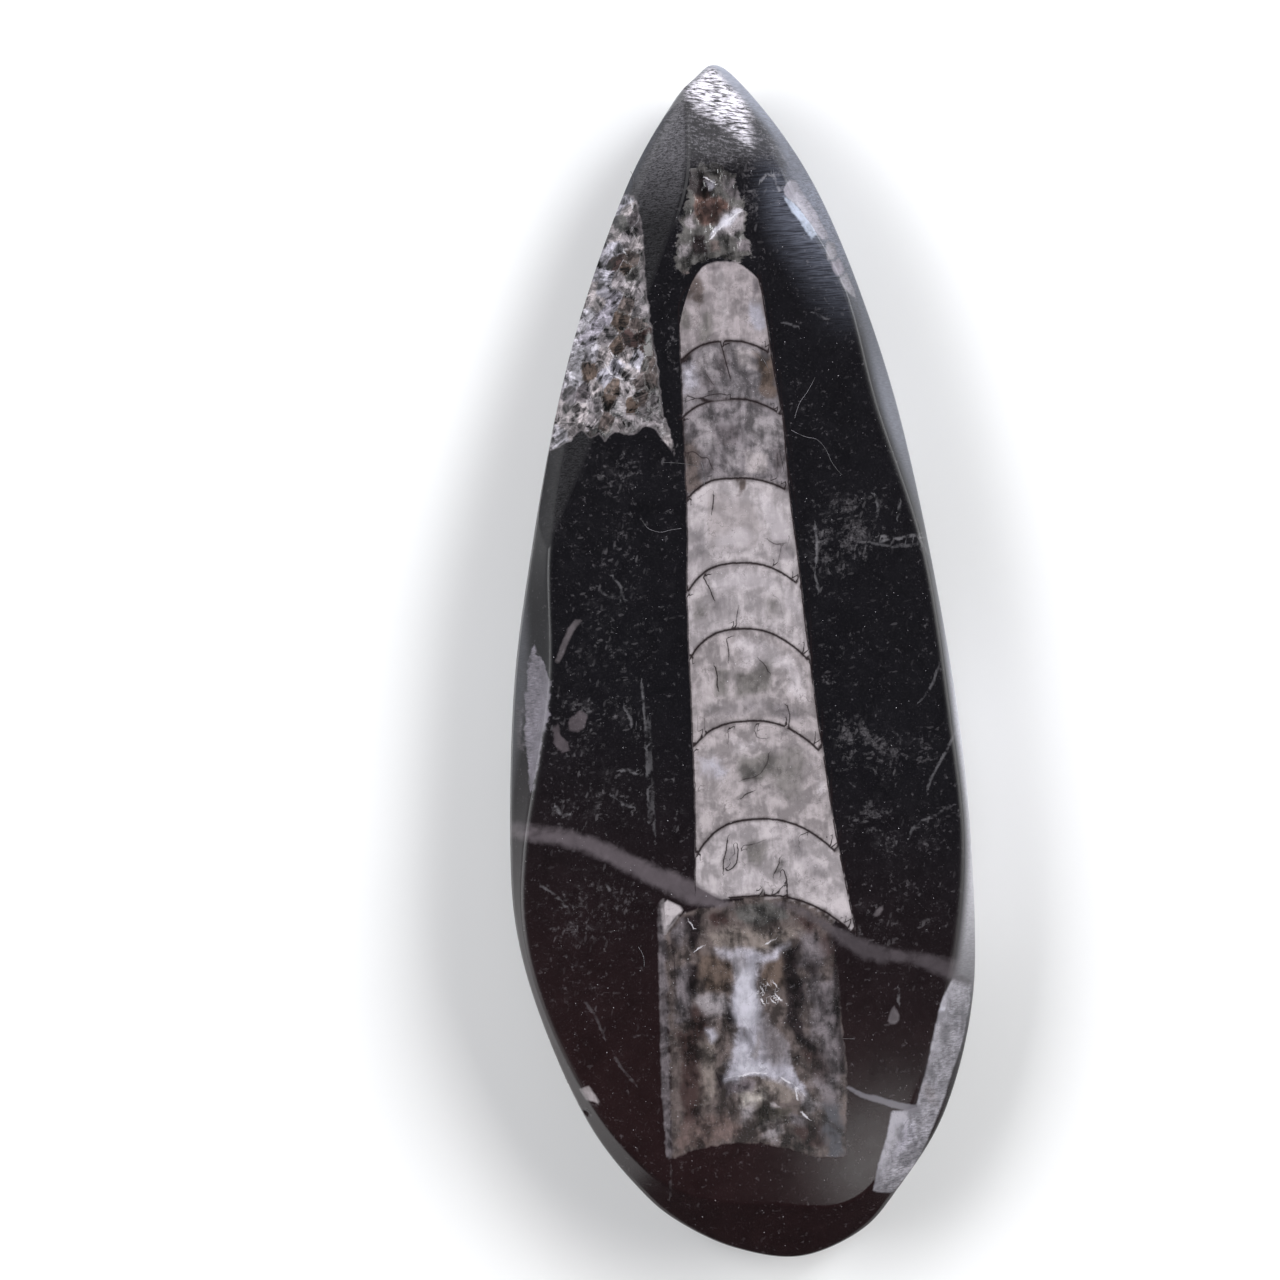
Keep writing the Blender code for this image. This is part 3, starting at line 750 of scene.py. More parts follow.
# %% Stains: colour, strength, softness, outline; later ones lie over earlier ones
STAINS = table("""
# first chamber
drab 0.9 0.8 -3.2 47 -2.1 46.8 -2 45 -2.8 43.8 -3.9 43.8 -4.2 44.8
drab 0.7 0.5 -2.2 46.6 -1.2 46 -0.9 43.4 -1.8 42.6 -2.6 44
sage 0.75 0.5 -4.4 43 -3 42.8 -2.6 40.6 -3.4 40 -4.4 40
sage 0.75 0.6 -1.6 42 -0.4 42 -0.2 38.8 -1.8 38.4
pearl 0.5 0.4 0.2 47.6 1.4 47.4 1.8 43 2.2 40 0.9 40 0.6 43.6
ash 0.8 0.35 4.6 46.2 5.6 45.4 5.9 43.8 5 43.4
ash 0.6 0.3 -1 48 1 48.2 1 47.4 -0.8 47.2
frost 0.9 0.5 4.6 43 5.9 42.6 6.3 39.6 5 39.4 4.4 41
# the hollow above the shell
ink 0.97 0.5 -1.9 59 0.3 58.6 1 57.2 0.4 55.8 -1.6 56.2 -2.2 57.6
rust 0.95 0.5 -1.5 56 1.6 56.2 2.4 54.6 1.2 52.8 -0.8 52.6 -1.6 54
peat 0.85 0.5 -0.2 55.4 0.9 55.2 1.2 53.6 0.2 52.8 -0.6 53.8
smoke 0.85 0.4 1.4 53.4 3 54.4 4.1 54.2 4.2 52 2.6 51.2 0.6 51
snow 0.97 0.22 0.4 51.3 2 52.2 3.2 53.2 3.9 54.2 2.8 54 1.4 52.8
frost 0.95 0.3 0.1 58 0.9 58.1 1 57.3 0.4 57
ash 0.8 0.5 1.8 58.6 3.6 58 4 55.6 2.6 55.4
smoke 0.8 0.35 -4 50.4 -2.7 50.2 -2.5 48.9 -3.8 48.6
ink 0.9 0.4 -2.4 51.4 -0.6 51.4 -0.4 49.4 -2.2 49
drab 0.8 0.3 0.2 50.6 1.4 50.4 1.2 49.4 0.2 49.4
ash 0.8 0.3 2.8 50.8 4.4 50.6 4.6 49.2 3 49.2
smoke 0.8 0.3 -2.6 54.4 -1.7 54.2 -1.9 52.4 -2.8 52.6
# second
frost 0.6 0.6 -4.1 35.6 -2.8 35.8 -2.4 33 -4 32.6
bone 0.85 0.6 2.2 37.8 4.4 37.2 4.4 35 2.6 34.8
smoke 0.8 0.6 -2.2 37.4 0.2 37.8 0.2 35 -2 34.8
ash 0.8 0.4 0.2 37.7 1.2 37.5 1.6 35.4 0.9 34 0.4 35
ash 0.6 0.5 -2.2 34.4 -0.6 34.2 0.3 33 -0.8 32.2 -2 33
umber 0.9 0.6 4.9 37 6.6 36.4 7.1 32 5.2 32.4
# third
smoke 0.8 0.6 -3.2 29.8 -1 29.6 -0.8 26 -2.8 25.8
smoke 0.8 0.8 2.8 30 6 29.6 7.4 28 7.4 25.8 3.4 25.2
ash 0.85 0.5 -0.8 28.6 1.4 28.4 2.6 27.2 1.6 25.8 -0.5 26.4
smoke 0.8 0.4 1.2 25.4 2.6 25.2 1.9 23 0.3 23.4
drab 0.9 0.4 -4.5 26.8 -3.2 26.9 -2.6 24.6 -3 21 -4.6 20.6
ash 0.8 0.4 -2.6 24.6 -1 24.2 -0.8 22.8 -2.8 22.4
bone 0.8 0.5 3 25 5.2 24.8 5.4 22.4 3 22.6
ash 0.6 0.4 6.2 25.4 7.6 25 7.6 22 6.2 22.4
# fourth
smoke 0.6 0.6 -4.6 16.6 -2.4 16.2 -1.9 13.4 -3 12 -4.6 12
bone 0.75 0.25 -2 20.6 0.6 20.2 3 19.4 4.2 17.6 4.6 15.6 4 14 1 13.4 -1.6 13.7 -1.9 17
drab 0.85 0.35 1.4 22 2.9 22 2.6 20.6 1.9 20.2
ivory 0.95 0.35 4.2 19.8 5.6 19.4 7.9 16 7.6 14 5.6 14.2 5 16.4
ivory 0.8 0.4 -1 15.2 2.6 16 4 14.8 2.2 13.8 -1 13.8
smoke 0.85 0.4 5.8 13.9 8 13.8 8.4 11.6 6.2 12.2
smoke 0.6 0.4 -1.6 13.2 5 13.2 5 12.6 -1.6 12.7
# fifth
sage 0.5 0.5 -4.6 7.4 -2.6 9 -2 6.4 -3.8 4.6
ivory 0.8 0.5 -1.9 10.3 1.6 10.9 5.6 9.8 5.6 8.4 2 8.8 -1.7 8.6
smoke 0.6 0.8 -1.9 8.2 0.2 8.2 0.3 6 -1.9 5.8
pearl 0.7 0.4 -1.8 5.6 0.8 6 1 4.4 -1.6 4
sage 0.7 0.8 3.9 7.6 6 7.2 6.2 4.8 4.4 5
ivory 0.7 0.5 6.4 9 8.6 7.4 8.6 5.4 6.8 6
# sixth
ivory 0.6 0.8 0 2.8 2 3.2 6 1.6 8.6 -1.5 9 -5 7.6 -4.5 5.4 -1 1 -0.4
sage 0.75 0.5 0.2 -1 1.5 -1.5 3.2 -0.8 4.6 0.2 4.8 -2 4.2 -4.2 0.2 -4.2
sage 0.65 0.4 -2.4 -0.4 -1.2 -0.8 -0.4 -1.2 -0.6 -4.4 -2.2 -4
smoke 0.55 0.6 -4 -4.8 1 -4.4 5 -4.9 8.4 -5.8 8 -7.4 5.5 -7 2 -6.5 -3.4 -6.6
moss 0.5 0.3 3.2 0.1 4.5 -0.3 4.6 -1.6 3.8 -1
ash 0.5 0.4 5.2 -5.6 6.4 -5.5 6.8 -7 5.8 -7.4
# seventh
moss 0.6 0.35 -3.6 -10.1 -2.4 -10.1 -2.2 -10.9 -3.2 -11.1
sage 0.85 0.6 0.2 -11.2 2 -11.6 3.6 -11 4.8 -11.4 4.4 -13.6 2.8 -14.4 0.6 -14.4
sage 0.6 0.7 4.8 -10.9 6.2 -10.5 8.1 -11 8.3 -13 7.4 -17.7 5.2 -17.2 4 -14.8
moss 0.75 0.3 0.6 -13.8 2.4 -13.2 3.9 -11.6 4.3 -12 3.4 -13.3 2 -14.1 0.8 -14.3
ivory 0.5 0.7 -0.6 -9.4 2.2 -9 4 -9.8 2 -11 -0.4 -11
frost 0.5 0.6 -4.6 -11.4 -2 -11 -1 -13 -2 -14.2 -4.6 -13.8
ivory 0.7 0.4 9.2 -14 10.4 -15.4 10.4 -17 9.4 -16.4
# eighth
sage 0.7 0.5 0.2 -21.7 2 -21.2 3.4 -21.7 3.2 -24 2.2 -24.8 0.4 -24.2
smoke 0.6 0.4 -2.2 -22 -0.5 -22.2 -0.8 -24.6 -2.2 -25
smoke 0.6 0.7 5.6 -22 7 -21.4 8.6 -22.8 8.4 -24.6 6.4 -24
moss 0.8 0.35 4.4 -23.8 5 -24.3 4.4 -25.6 3.6 -26 4 -25
ivory 0.6 0.6 -1 -25.4 2 -25.2 3.6 -26.4 2 -27 -1 -27.6 -2 -26.6
moss 0.7 0.3 2.2 -27.3 2.8 -27.3 3 -28.4 2.2 -28.4
smoke 0.6 0.6 7.6 -25 9.4 -24.6 10.2 -26 8.6 -27
# body chamber, from the top down
moss 0.95 0.6 -1 -29.5 2 -28.8 4.8 -29.6 5.2 -31.2 2.4 -32.1 0 -31.4
ink 0.95 0.5 -7.6 -30.2 -5.6 -29.7 -5.2 -32.4 -5.8 -35 -6.8 -33.6 -7 -32
ash 0.85 0.5 -9 -31.6 -7.4 -30.6 -7 -32 -7.6 -34.4 -8.8 -33
ink 0.9 0.25 -9.1 -32.4 -8.5 -32.8 -8.5 -35 -9 -35
peat 0.8 0.5 -4.6 -30.2 -2 -30 -1.6 -31.2 -4 -31.6
fawn 0.9 0.8 -4.6 -32.4 -1 -31.8 2.4 -32.6 6.6 -32.6 4.6 -34.3 2 -35 -3 -34.6
ink 0.85 0.25 2.6 -34.2 3.8 -33.6 4.6 -33.8 3.4 -34.5
peat 0.75 0.6 6.4 -30.4 8.6 -31 9.6 -33 7.4 -33 6.2 -31.8
ash 0.8 0.6 6.4 -33.2 8.6 -33.2 10 -34.6 8.6 -37 6.4 -37
umber 0.95 0.7 -5.5 -35 -3.6 -34.7 -1.6 -35.6 -1.4 -37.5 -2.6 -39.5 -4.6 -39.5 -5.7 -37.4
umber 0.85 0.5 1.5 -36.8 3 -35.7 4.5 -35.8 4.5 -39 2.8 -40 1.6 -38.8
ash 0.85 0.9 6.8 -39 8.6 -38 10.4 -39.4 10.8 -46 10.4 -52 9 -54 7.4 -51 8.4 -47 7 -44
ink 0.95 0.6 4.6 -34.6 6.3 -34.3 6.1 -38 6.5 -41 6.2 -44.4 7.6 -46 9.2 -47.6 7.4 -47.6 5.3 -45.8 4.1
    -43.6 4.7 -41.4 4.4 -38
smoke 0.85 0.6 -6.2 -39.8 -3 -39.8 -2.6 -41.6 -3.6 -43 -5.6 -42.4
ash 0.9 0.6 -8.8 -36.6 -7.2 -36 -6.8 -39 -7.4 -43 -8.6 -43
ink 0.9 0.45 -7.1 -36.2 -5.8 -36 -5.6 -38.2 -6.4 -40 -7.2 -38.8
peat 0.95 0.6 -7.4 -41.4 -6 -41 -4.8 -42.8 -5.6 -44.4 -7 -44
drab 0.9 0.8 -4.4 -42.6 -2.8 -42.4 -2.6 -48 -4.6 -48
peat 0.95 0.8 -8.4 -44 -6.6 -44 -6.2 -50 -6.6 -56 -8.8 -57
fawn 0.85 0.6 -6.3 -45.4 -4.7 -45.6 -4.6 -49.4 -5.2 -53 -6.4 -53
rose 0.85 0.8 -9.4 -55.6 -4 -54 -1 -56 -1 -57.2 -4 -57.4 -9.6 -58.8
# its pale core
frost 0.92 0.5 -3.8 -34.3 -1.5 -34.9 0.3 -34.6 2.2 -35.2 4.4 -34.3 5.1 -34.2 3.2 -35.6 1.2 -36.6 0.9
    -38.5 1.1 -41 1.8 -43 3 -45 4.4 -47.4 4.8 -49.4 5.8 -51 6.6 -52.6 5.4 -51.8 3 -50.4 0.8 -49.8 -1
    -50 -3.5 -50.2 -3.3 -48.8 -2.2 -47.4 -1.9 -45 -2.4 -42.5 -2.2 -40.4 -1.6 -38.8 -1 -37.2 -1.4 -36
    -2.6 -35.2
drab 0.75 0.9 1.2 -42.2 2.6 -43.2 3.8 -45.4 4.8 -48 2.6 -48.6 1.4 -47.6
snow 0.75 0.5 -0.9 -36.4 0.7 -36.6 0.8 -40 1 -43 -0.4 -44.4 -1.8 -43 -1.2 -39
snow 0.6 0.4 -2.6 -49.6 -1.6 -47 -1.2 -45.6 -0.4 -47.6 1.6 -49 1.4 -49.6
smoke 0.85 0.25 -0.2 -47.4 0.4 -46 1 -44.6 1.5 -44.6 1 -46.4 0.3 -48
ash 0.7 0.25 -1.4 -43.8 -0.7 -44 -0.4 -45.4 -1 -45
smoke 0.6 0.4 -1.7 -35.2 0.2 -35.4 -0.2 -37 -1 -37.6
ink 0.7 0.5 6.8 -36.2 8.2 -36 8.4 -38.2 7.2 -39.4
ink 0.6 0.5 8 -40.6 9.4 -40.2 9.6 -42.8 8.4 -43.4
peat 0.7 0.5 6 -46.6 8 -47.4 9.6 -49.4 8.6 -51 6.6 -49.4
ink 0.8 0.3 10.1 -33 10.9 -33 11.4 -50 10.5 -50 10.3 -42
peat 0.6 0.5 8.8 -33 10.2 -33.4 10.3 -37 9.2 -36
ink 0.95 0.3 -2.9 -41.2 -2.3 -41.6 -2.3 -43.4 -2.8 -43.6
ink 0.95 0.35 -4.5 -49.2 -3.6 -49.4 -3.6 -51.2 -4.4 -51.4
frost 0.85 0.35 -5.4 -43.9 -4.5 -43.8 -4 -44.8 -4.9 -45.2
# under the core
plum 0.9 0.4 -3.4 -50.4 -1.6 -50.4 0.4 -50.8 -0.6 -51.6 -3 -52
fawn 0.9 0.5 1.4 -50.4 3.4 -50.7 5 -52 4.4 -53 2.4 -52.4 1 -51.8
cream 0.85 0.6 -1.5 -51.9 0 -51.5 1.2 -51.9 1.5 -52.7 0.2 -53 -1.4 -53.2
smoke 0.7 0.6 -1.6 -53.2 -0.3 -53.2 -0.5 -55 -1.5 -55.2
olive 0.95 0.6 0.2 -53.6 2 -53.4 4.4 -54.2 4 -55.4 2 -55.6 0 -56.2
bone 0.85 0.2 2 -53.2 2.8 -53.3 3.4 -53.8 2.6 -54 2 -53.7
smoke 0.85 0.5 5.6 -52.4 7 -52.6 7.8 -53.8 6.4 -54.6 5.4 -53.6
smoke 0.6 0.9 1 -56 3 -55.8 3.6 -57 2.6 -58 0.6 -57.4
ash 0.85 0.4 4.4 -54.8 6 -55 6 -56.2 4.6 -56
peat 0.95 0.6 4.6 -56.8 6 -56 7.8 -56 8 -58.6 6 -58.6
slate 0.8 0.8 8.4 -53.6 10.2 -54 10.6 -60 8.6 -60 8 -57
""")

# %% Dark lines in the calcite, and pale lines in the limestone with painted glints: strength, then points
# painted glints: bright splinters in the body chamber and the hollow
CRACKS, HASH_AND_GLINTS = ([(row[0], grouped(row[1:])) for row in table(lines)] for lines in ("""
0.9 0.7 38.2 1 37 1.3 35.6 1.6 34.2
0.6 -1.2 34.6 -0.5 33.4
0.8 -3.6 32.2 -2.5 31.7 -1 32.1 0.3 32.2 1.2 32
0.7 -4.2 25.3 -3.2 25.5 -2.3 24.6 -1.5 24.7 -1.2 23.4
0.5 6.8 24.6 6.6 22.4
0.9 -1.1 20 -1.2 19.2 -1.4 18.2
0.6 5.2 14.3 6 13.8 7.4 13.9
0.5 6.7 13.6 6.2 11.6
0.9 -2.9 10.4 -2.2 9 -1.8 7.7
0.5 5.6 7.6 6.2 7 6.2 6
0.7 1.1 6.2 0.8 5 0.8 4.3
0.8 -0.4 2.6 -0.3 1.5 -0.3 0.4
0.7 3.4 0 4 -0.6 4.3 -1.4
0.9 -2 -0.5 -1.8 -1.5 -1.9 -3.1
0.5 6.5 -1.4 6.3 -2.2
0.8 6.4 -5.7 6.7 -6.8 6.4 -8
0.6 -3.6 -6.6 -3.7 -8.2
0.6 -0.9 -8 -0.8 -8.8 -1 -9.8
0.6 2.4 -8.5 2.6 -9.3 3.4 -9.4
0.7 3.9 -11.4 3.6 -12.4 2.8 -13.5
0.6 2.2 -13.9 0.6 -14.2
0.8 0.4 -16.3 0.9 -15.9 1.6 -15.7
0.5 -5 -14.5 -4.4 -14.6
0.9 -1.6 -21.2 -1.9 -22.9 -2.3 -24 -2.3 -25
0.9 -0.4 -22.2 -0.5 -23.4 -0.8 -24.5 -1.9 -25.1
0.7 0.3 -22.1 1.6 -22 2.6 -21.7
0.8 4.6 -24 4.2 -24.9 3.8 -25.7
0.9 5 -25.5 5.3 -26.6 5.2 -28.3
0.8 5 -27.1 4.4 -27.4 4.1 -28.3
0.7 2.3 -27.4 2.7 -28.2
0.5 7 -21.9 6.9 -22.5
0.6 -9.6 -34 -9 -33 -8.7 -35.5 -8.8 -38
0.35 -0.9 -42.8 0.1 -44.5 1 -45.9
0.3 1.3 -43.2 0.5 -45 -0.3 -46.6
0.3 -1.1 -44.4 0 -46.1 0.6 -47.2
0.5 9.6 -45.6 11.6 -45.9
0.7 -4.4 -49.3 -3.9 -51
""", """
0.8 18.9 14.2 19.8 13.9 20.8 13.7 22 14 23.2 14.1
0.35 17.6 13.4 20 12.8 22.4 12.9 24 12
0.45 23.3 13.5 24 12.4
0.6 18.2 19 18.6 17.8 18.3 16.5
0.45 21.2 18 20.9 16.4
0.45 24.9 -1.6 23.9 -4.2 22.4 -5.8
0.55 26.6 -9.6 25 -12.4 23.2 -15.2 22.7 -16.6
0.3 25.5 -18.7 23 -19.8 21 -20.7 20.2 -22
0.55 10.9 15.8 11 13.2 10.8 11.4
0.5 10.6 9.8 10.9 7.9
0.5 -15.4 9.6 -14.6 8.6 -13.2 8.4
0.5 -13 -5 -12.4 -6.2 -12.4 -7.4
0.6 -13.9 -12.3 -13 -12.3 -12.3 -12.7
0.5 -15 -15.4 -14 -16.3 -12.9 -16.8
0.6 -21.8 -16.4 -21.3 -17.6 -20.5 -17.2
0.5 -16.2 -26.2 -15.5 -27.6 -15.3 -29
0.45 -24 -25.8 -22.5 -27 -21.6 -28.1
0.45 -12.5 8.4 -12.8 9.6 -13.6 10.8
0.3 -19.6 -40 -18.6 -41.5 -17.6 -44.2
0.3 -16.6 -46.4 -15.5 -48.5 -14.3 -50
0.5 -10.9 -2 -10.7 -8 -10.9 -18.5
0.35 -10.2 -6 -10.3 -20
0.3 -10.5 -60.5 -10.7 -64
0.5 18 -40.4 17.9 -42
0.9 8.2 58.3 8.4 57 9 56 10 55.2 11.2 54.2 12.1 53.4
0.8 9 61.3 9.4 60.6 9.9 59.6
0.9 6.6 57.6 7.3 58.4 8 58
0.4 8.6 40.3 9.3 40.1 9.8 39.8
0.4 12.2 41.2 13.4 40.6
# bright splinters in the body chamber and the hollow
2.6 -1.2 -49.7 -0.2 -49.4 1.4 -49.6
1.8 -2.9 -49.9 -1.2 -49.7
2.2 4.3 -50.8 5.2 -51.6 5.9 -52.3
1.7 3.4 -50.2 4.3 -50.8
2 1.5 -39.2 1.7 -39.7
2.2 1.3 -40.3 1.6 -40.9
1.8 2.2 -38.7 2.4 -39
2 3.2 -38.9 3.4 -39.3
2.2 3 -40 3.7 -40.7
1.8 3.9 -40.9 4.1 -41.1
1.8 2.7 -40.8 2.9 -41
1.8 -5.9 -34.2 -5.3 -33.9
1.8 -6.6 -31 -6.3 -31.4
1.7 2.4 -34 3.2 -33.6
1.8 5 -51.6 5.4 -54.3 6.3 -55.2
2.2 0.2 51 1.4 52.2 2.6 53.2 3.8 54
1.9 0 58.3 0.8 57.7
1.8 -13.2 36.4 -12.6 35.2 -11.4 34.6 -10.2 34.6
1.7 -12.4 37.8 -11.6 36
1.7 -9.2 56.9 -9 55.4
1.6 -10.6 51 -10.2 50
"""))
# Where the limestone is full of shell hash: x, y, half sizes, lean, density
CLUSTERS = table("""
13.6 14.8 3.4 4.6 -15 0.62
11.4 12.4 1.2 3.6 0 0.3
15.2 18 2.2 0.9 0 0.35
21 13.8 2.8 0.9 0 0.35
18.4 18 1.2 2.4 -10 0.2
12 -2.4 1.6 1.8 0 0.25
15 -10 3.4 3.6 0 0.42
17.6 -12.4 1.8 3.2 20 0.3
13.2 -11.2 1.2 2.2 0 0.3
15 -19.4 3 1.3 38 0.35
17 -21.4 1.5 2.4 10 0.4
21.4 -11.6 2.6 2.4 0 0.28
21.6 -21.6 3 3.6 -30 0.22
23.4 1.6 1 2.2 0 0.3
21.4 -30 3.4 3.4 0 0.18
16 -33.6 2.6 2.6 0 0.16
-15.5 18 5.5 8 0 0.2
-14 4 5 6 0 0.24
-12.6 12 3.4 4 0 0.16
-17 -1.8 3.6 4 -25 0.2
-19.2 -7 2.6 3.2 -30 0.5
-12.8 -6.6 1.8 3.2 0 0.35
-18 -15 5 5 0 0.26
-14.4 -15.8 2.4 2 0 0.25
-21.4 -16.8 1.6 1.8 0 0.35
-18.6 -28.6 4.2 4 0 0.3
-14.2 -28.6 2.6 3 0 0.24
-21.6 -30.6 2.2 2.6 0 0.3
-20 -38 4 4.4 0 0.18
-6.4 24 1.4 3 0 0.2
-12 24 2.6 2.6 0 0.25
-17.4 25.6 2.6 2.4 0 0.3
9.4 30 1.6 3 0 0.12
-7 12 1.2 8 0 0.12
-8 -16 2 5 0 0.14
-14.6 -24.6 5 1.4 20 0.12
16.6 -26 2.4 2.4 0 0.14
14.6 -30.8 2 1.6 0 0.22
1.4 61.6 2.4 3.2 0 0.5
4.8 55 1.2 5 0 0.4
-3.6 48.6 1.4 2 0 0.5
1.5 49.4 3.8 1 0 0.5
-5.2 41 0.7 6 0 0.3
-3.4 54.5 0.9 5 0 0.4
8.8 58 1.8 2.4 0 0.35
""")
print(len(WASHES), "washes,", len(STAINS), "stains,", len(CRACKS), "cracks,", len(HASH_AND_GLINTS), "lines")

# %% Tone of the ground edge at each point of EDGE, clockwise from the point: partly the ground finish, partly painted reflection
BEVEL_REFLECTION_TONES = [
    0.36, 0.34, 0.17, 0.09, 0.06, 0.18, 0.15, 0.70, 0.60, 0.10, 0.02, 0.006, 0.0, 0.0,
    0.0, 0.0, 0.004, 0.010, 0.02, 0.03, 0.04, 0.07, 0.08, 0.08, 0.07, 0.07, 0.08, 0.20,
]

# %% Distances and colours at every point of the mesh
REACH = 3.0         # distances are cut off here
SIDE_FROM = 17.0    # below this height a mark runs down the side
DIP = 0.25          # how far marks shift towards the butt, per mm of depth
FADE_DOWN = 0.22    # how much narrower they get, per mm of depth
CLEAR_SPAR = 0.25   # a stain brighter than this is clear and even

count = len(stone_mesh.vertices)
flat = np.zeros(count * 3, np.float32)
stone_mesh.vertices.foreach_get("co", flat)
place = flat.reshape(-1, 3).astype(float)
stone_mesh.vertices.foreach_get("normal", flat)
normal = flat.reshape(-1, 3).astype(float)
xy = place[:, :2]


def ripple(x, y, size, seed):
    """A wavy offset of about 1 in X and Y, with waves of about this size."""
    waves = np.random.default_rng(seed).uniform(-1, 1, (2, 7, 4))
    out = []
    for group in waves:
        total = 0
        for a, b, c, d in group:
            total = total + np.sin((a * x + b * y) * 4 / size + 9 * c) * (0.6 + 0.4 * d)
        out.append(total / 2.4)
    return out


def inside(points, outline):
    """Distance inside a closed outline, negative outside it, cut off at REACH."""
    outline = np.array(outline, float)
    low, high = outline.min(axis=0) - REACH, outline.max(axis=0) + REACH
    near = ((points >= low) & (points <= high)).all(axis=1)
    out = np.full(len(points), -REACH)
    some = points[near]
    far, _, _ = distance_to_path(some, outline, closed=True)
    within = np.zeros(len(some), bool)
    for a, b in zip(outline, np.roll(outline, -1, axis=0)):
        crosses = (a[1] > some[:, 1]) != (b[1] > some[:, 1])
        rise = b[1] - a[1] if b[1] != a[1] else 1e-9
        within ^= crosses & (some[:, 0] < a[0] + (some[:, 1] - a[1]) * (b[0] - a[0]) / rise)
    out[near] = np.clip(np.where(within, far, -far), -REACH, REACH)
    return out


def shell_edges(y):
    """X of the shell's left and right wall at height Y."""
    left, right = np.array(SHELL_LEFT)[::-1], np.array(SHELL_RIGHT)[::-1]
    return np.interp(y, left[:, 0], left[:, 1]), np.interp(y, right[:, 0], right[:, 1])


def septum_line(n, x):
    """Height Y of septum n at x: an arc that hangs from its top to the shell's walls."""
    top_x, top_y, hang_left, hang_right = SEPTA[n]
    left, right = shell_edges(top_y - 2.5)
    if n == len(SEPTA) - 1:
        left = LAST_LEFT
    go_left = np.clip((top_x - x) / (top_x - left), 0, ARC_REACH[0]) ** ARC_POWERS[0]
    go_right = np.clip((x - top_x) / (right - top_x), 0, ARC_REACH[1]) ** ARC_POWERS[1]
    return top_y - go_left * hang_left - go_right * hang_right


x, y = xy.T
below = np.clip(SIDE_FROM - place[:, 2], 0, 20)
cut = xy + below[:, None] * (0.0, DIP)
left, right = shell_edges(y)
vein_top = np.interp(x, [p[0] for p in FAULT_LEFT], [p[1] + p[2] for p in FAULT_LEFT])
last_septum = septum_line(8, x)
floor_line = np.where(x < VEIN_FLOOR, np.maximum(vein_top, last_septum), last_septum)
shell_in = np.minimum.reduce([x - left, right - x, septum_line(0, x) - y, y - floor_line])
shell_in = np.clip(shell_in - below, -REACH, REACH)
chamber = sum((y < septum_line(n, x)).astype(int) for n in range(1, 8))

depths_in = {
    name: np.maximum(inside(cut, outline) - FADE_DOWN * below, -REACH)
    for name, outline in OUTLINE_OF.items()
}
stack = np.array([shell_in, *depths_in.values()])
nearest = stack.argmax(axis=0)
calcite_in = stack.max(axis=0)
opacity, ragged = np.array([(1.0, 0.10)] + [p[2:4] for p in PATCHES])[nearest].T

fill = np.array([COLOURS[colour] for colour in ["pearl"] + [p[1] for p in PATCHES]])[nearest]
mottle = np.array([0.4] + [MOTTLE.get(p[0], 0.35) for p in PATCHES])[nearest]
in_shell = nearest == 0
fill[in_shell] = np.array([COLOURS[name] for name, _ in CHAMBER_FILL])[chamber[in_shell]]
mottle[in_shell] = np.array([share for _, share in CHAMBER_FILL])[chamber[in_shell]]

wave_x, wave_y = ripple(x, y, 2.6, 3)
fine_x, fine_y = ripple(x, y, 0.9, 4)
waved_x, waved_y = x + 0.30 * wave_x + 0.16 * fine_x, y + 0.30 * wave_y + 0.16 * fine_y


def soft_oval(oval):
    """1 in the middle of an oval with wavy edges, fading to 0 outside it."""
    return np.clip((1.4 - in_place(oval, waved_x, waved_y)) / 0.85, 0, 1)


layers = [(colour, strength * soft_oval(oval) ** 1.2, False) for *oval, colour, strength in WASHES]
for colour, strength, softness, *outline in STAINS:
    depth = inside(np.column_stack([waved_x, waved_y]), grouped(outline))
    soft = np.clip(0.5 + depth / (2.8 * softness), 0, 1)
    clears = COLOURS[colour][0] > CLEAR_SPAR
    layers.append((colour, strength * soft * soft * (3 - 2 * soft), clears))

wash, cover = fill.copy(), np.zeros(count)
for colour, layer, clears in layers:
    total = layer + cover * (1 - layer)
    wash += (np.array(COLOURS[colour]) - wash) * (layer / np.maximum(total, 1e-6))[:, None]
    cover = total
    if clears:
        mottle = mottle * (1 - 0.5 * layer)
duller = np.where(nearest == 1, 0.06, 0)[:, None]      # the body chamber's darker stains
for tint in (wash, fill):
    tint *= 1 - duller * np.clip((0.24 - tint.mean(axis=1, keepdims=True)) / 0.1, 0, 1)

crowd = np.full(count, 0.025)
for *oval, density in CLUSTERS:
    crowd = crowd + density * soft_oval(oval)


def line_field(lines):
    """For each point: signed and plain distance to the nearest line, and its strength."""
    signed, plain = np.full(count, REACH), np.full(count, REACH)
    strength = np.zeros(count)
    for weight, path in lines:
        path = np.array(path, float)
        if len(path) > 2:    # soften the turns
            steps = np.linspace(0, len(path) - 1, 4 * len(path))
            path = np.stack([np.interp(steps, range(len(path)), path[:, k]) for k in (0, 1)], 1)
            path[1:-1] = (path[:-2] + 2 * path[1:-1] + path[2:]) / 4
        near = ((xy >= path.min(axis=0) - 1.5) & (xy <= path.max(axis=0) + 1.5)).all(axis=1)
        far, side, _ = distance_to_path(xy[near], path)
        closer = far < plain[near]
        where = np.flatnonzero(near)[closer]
        signed[where], plain[where] = (far * side)[closer], far[closer]
        strength[where] = weight
    return np.stack([signed, plain, strength], axis=1)


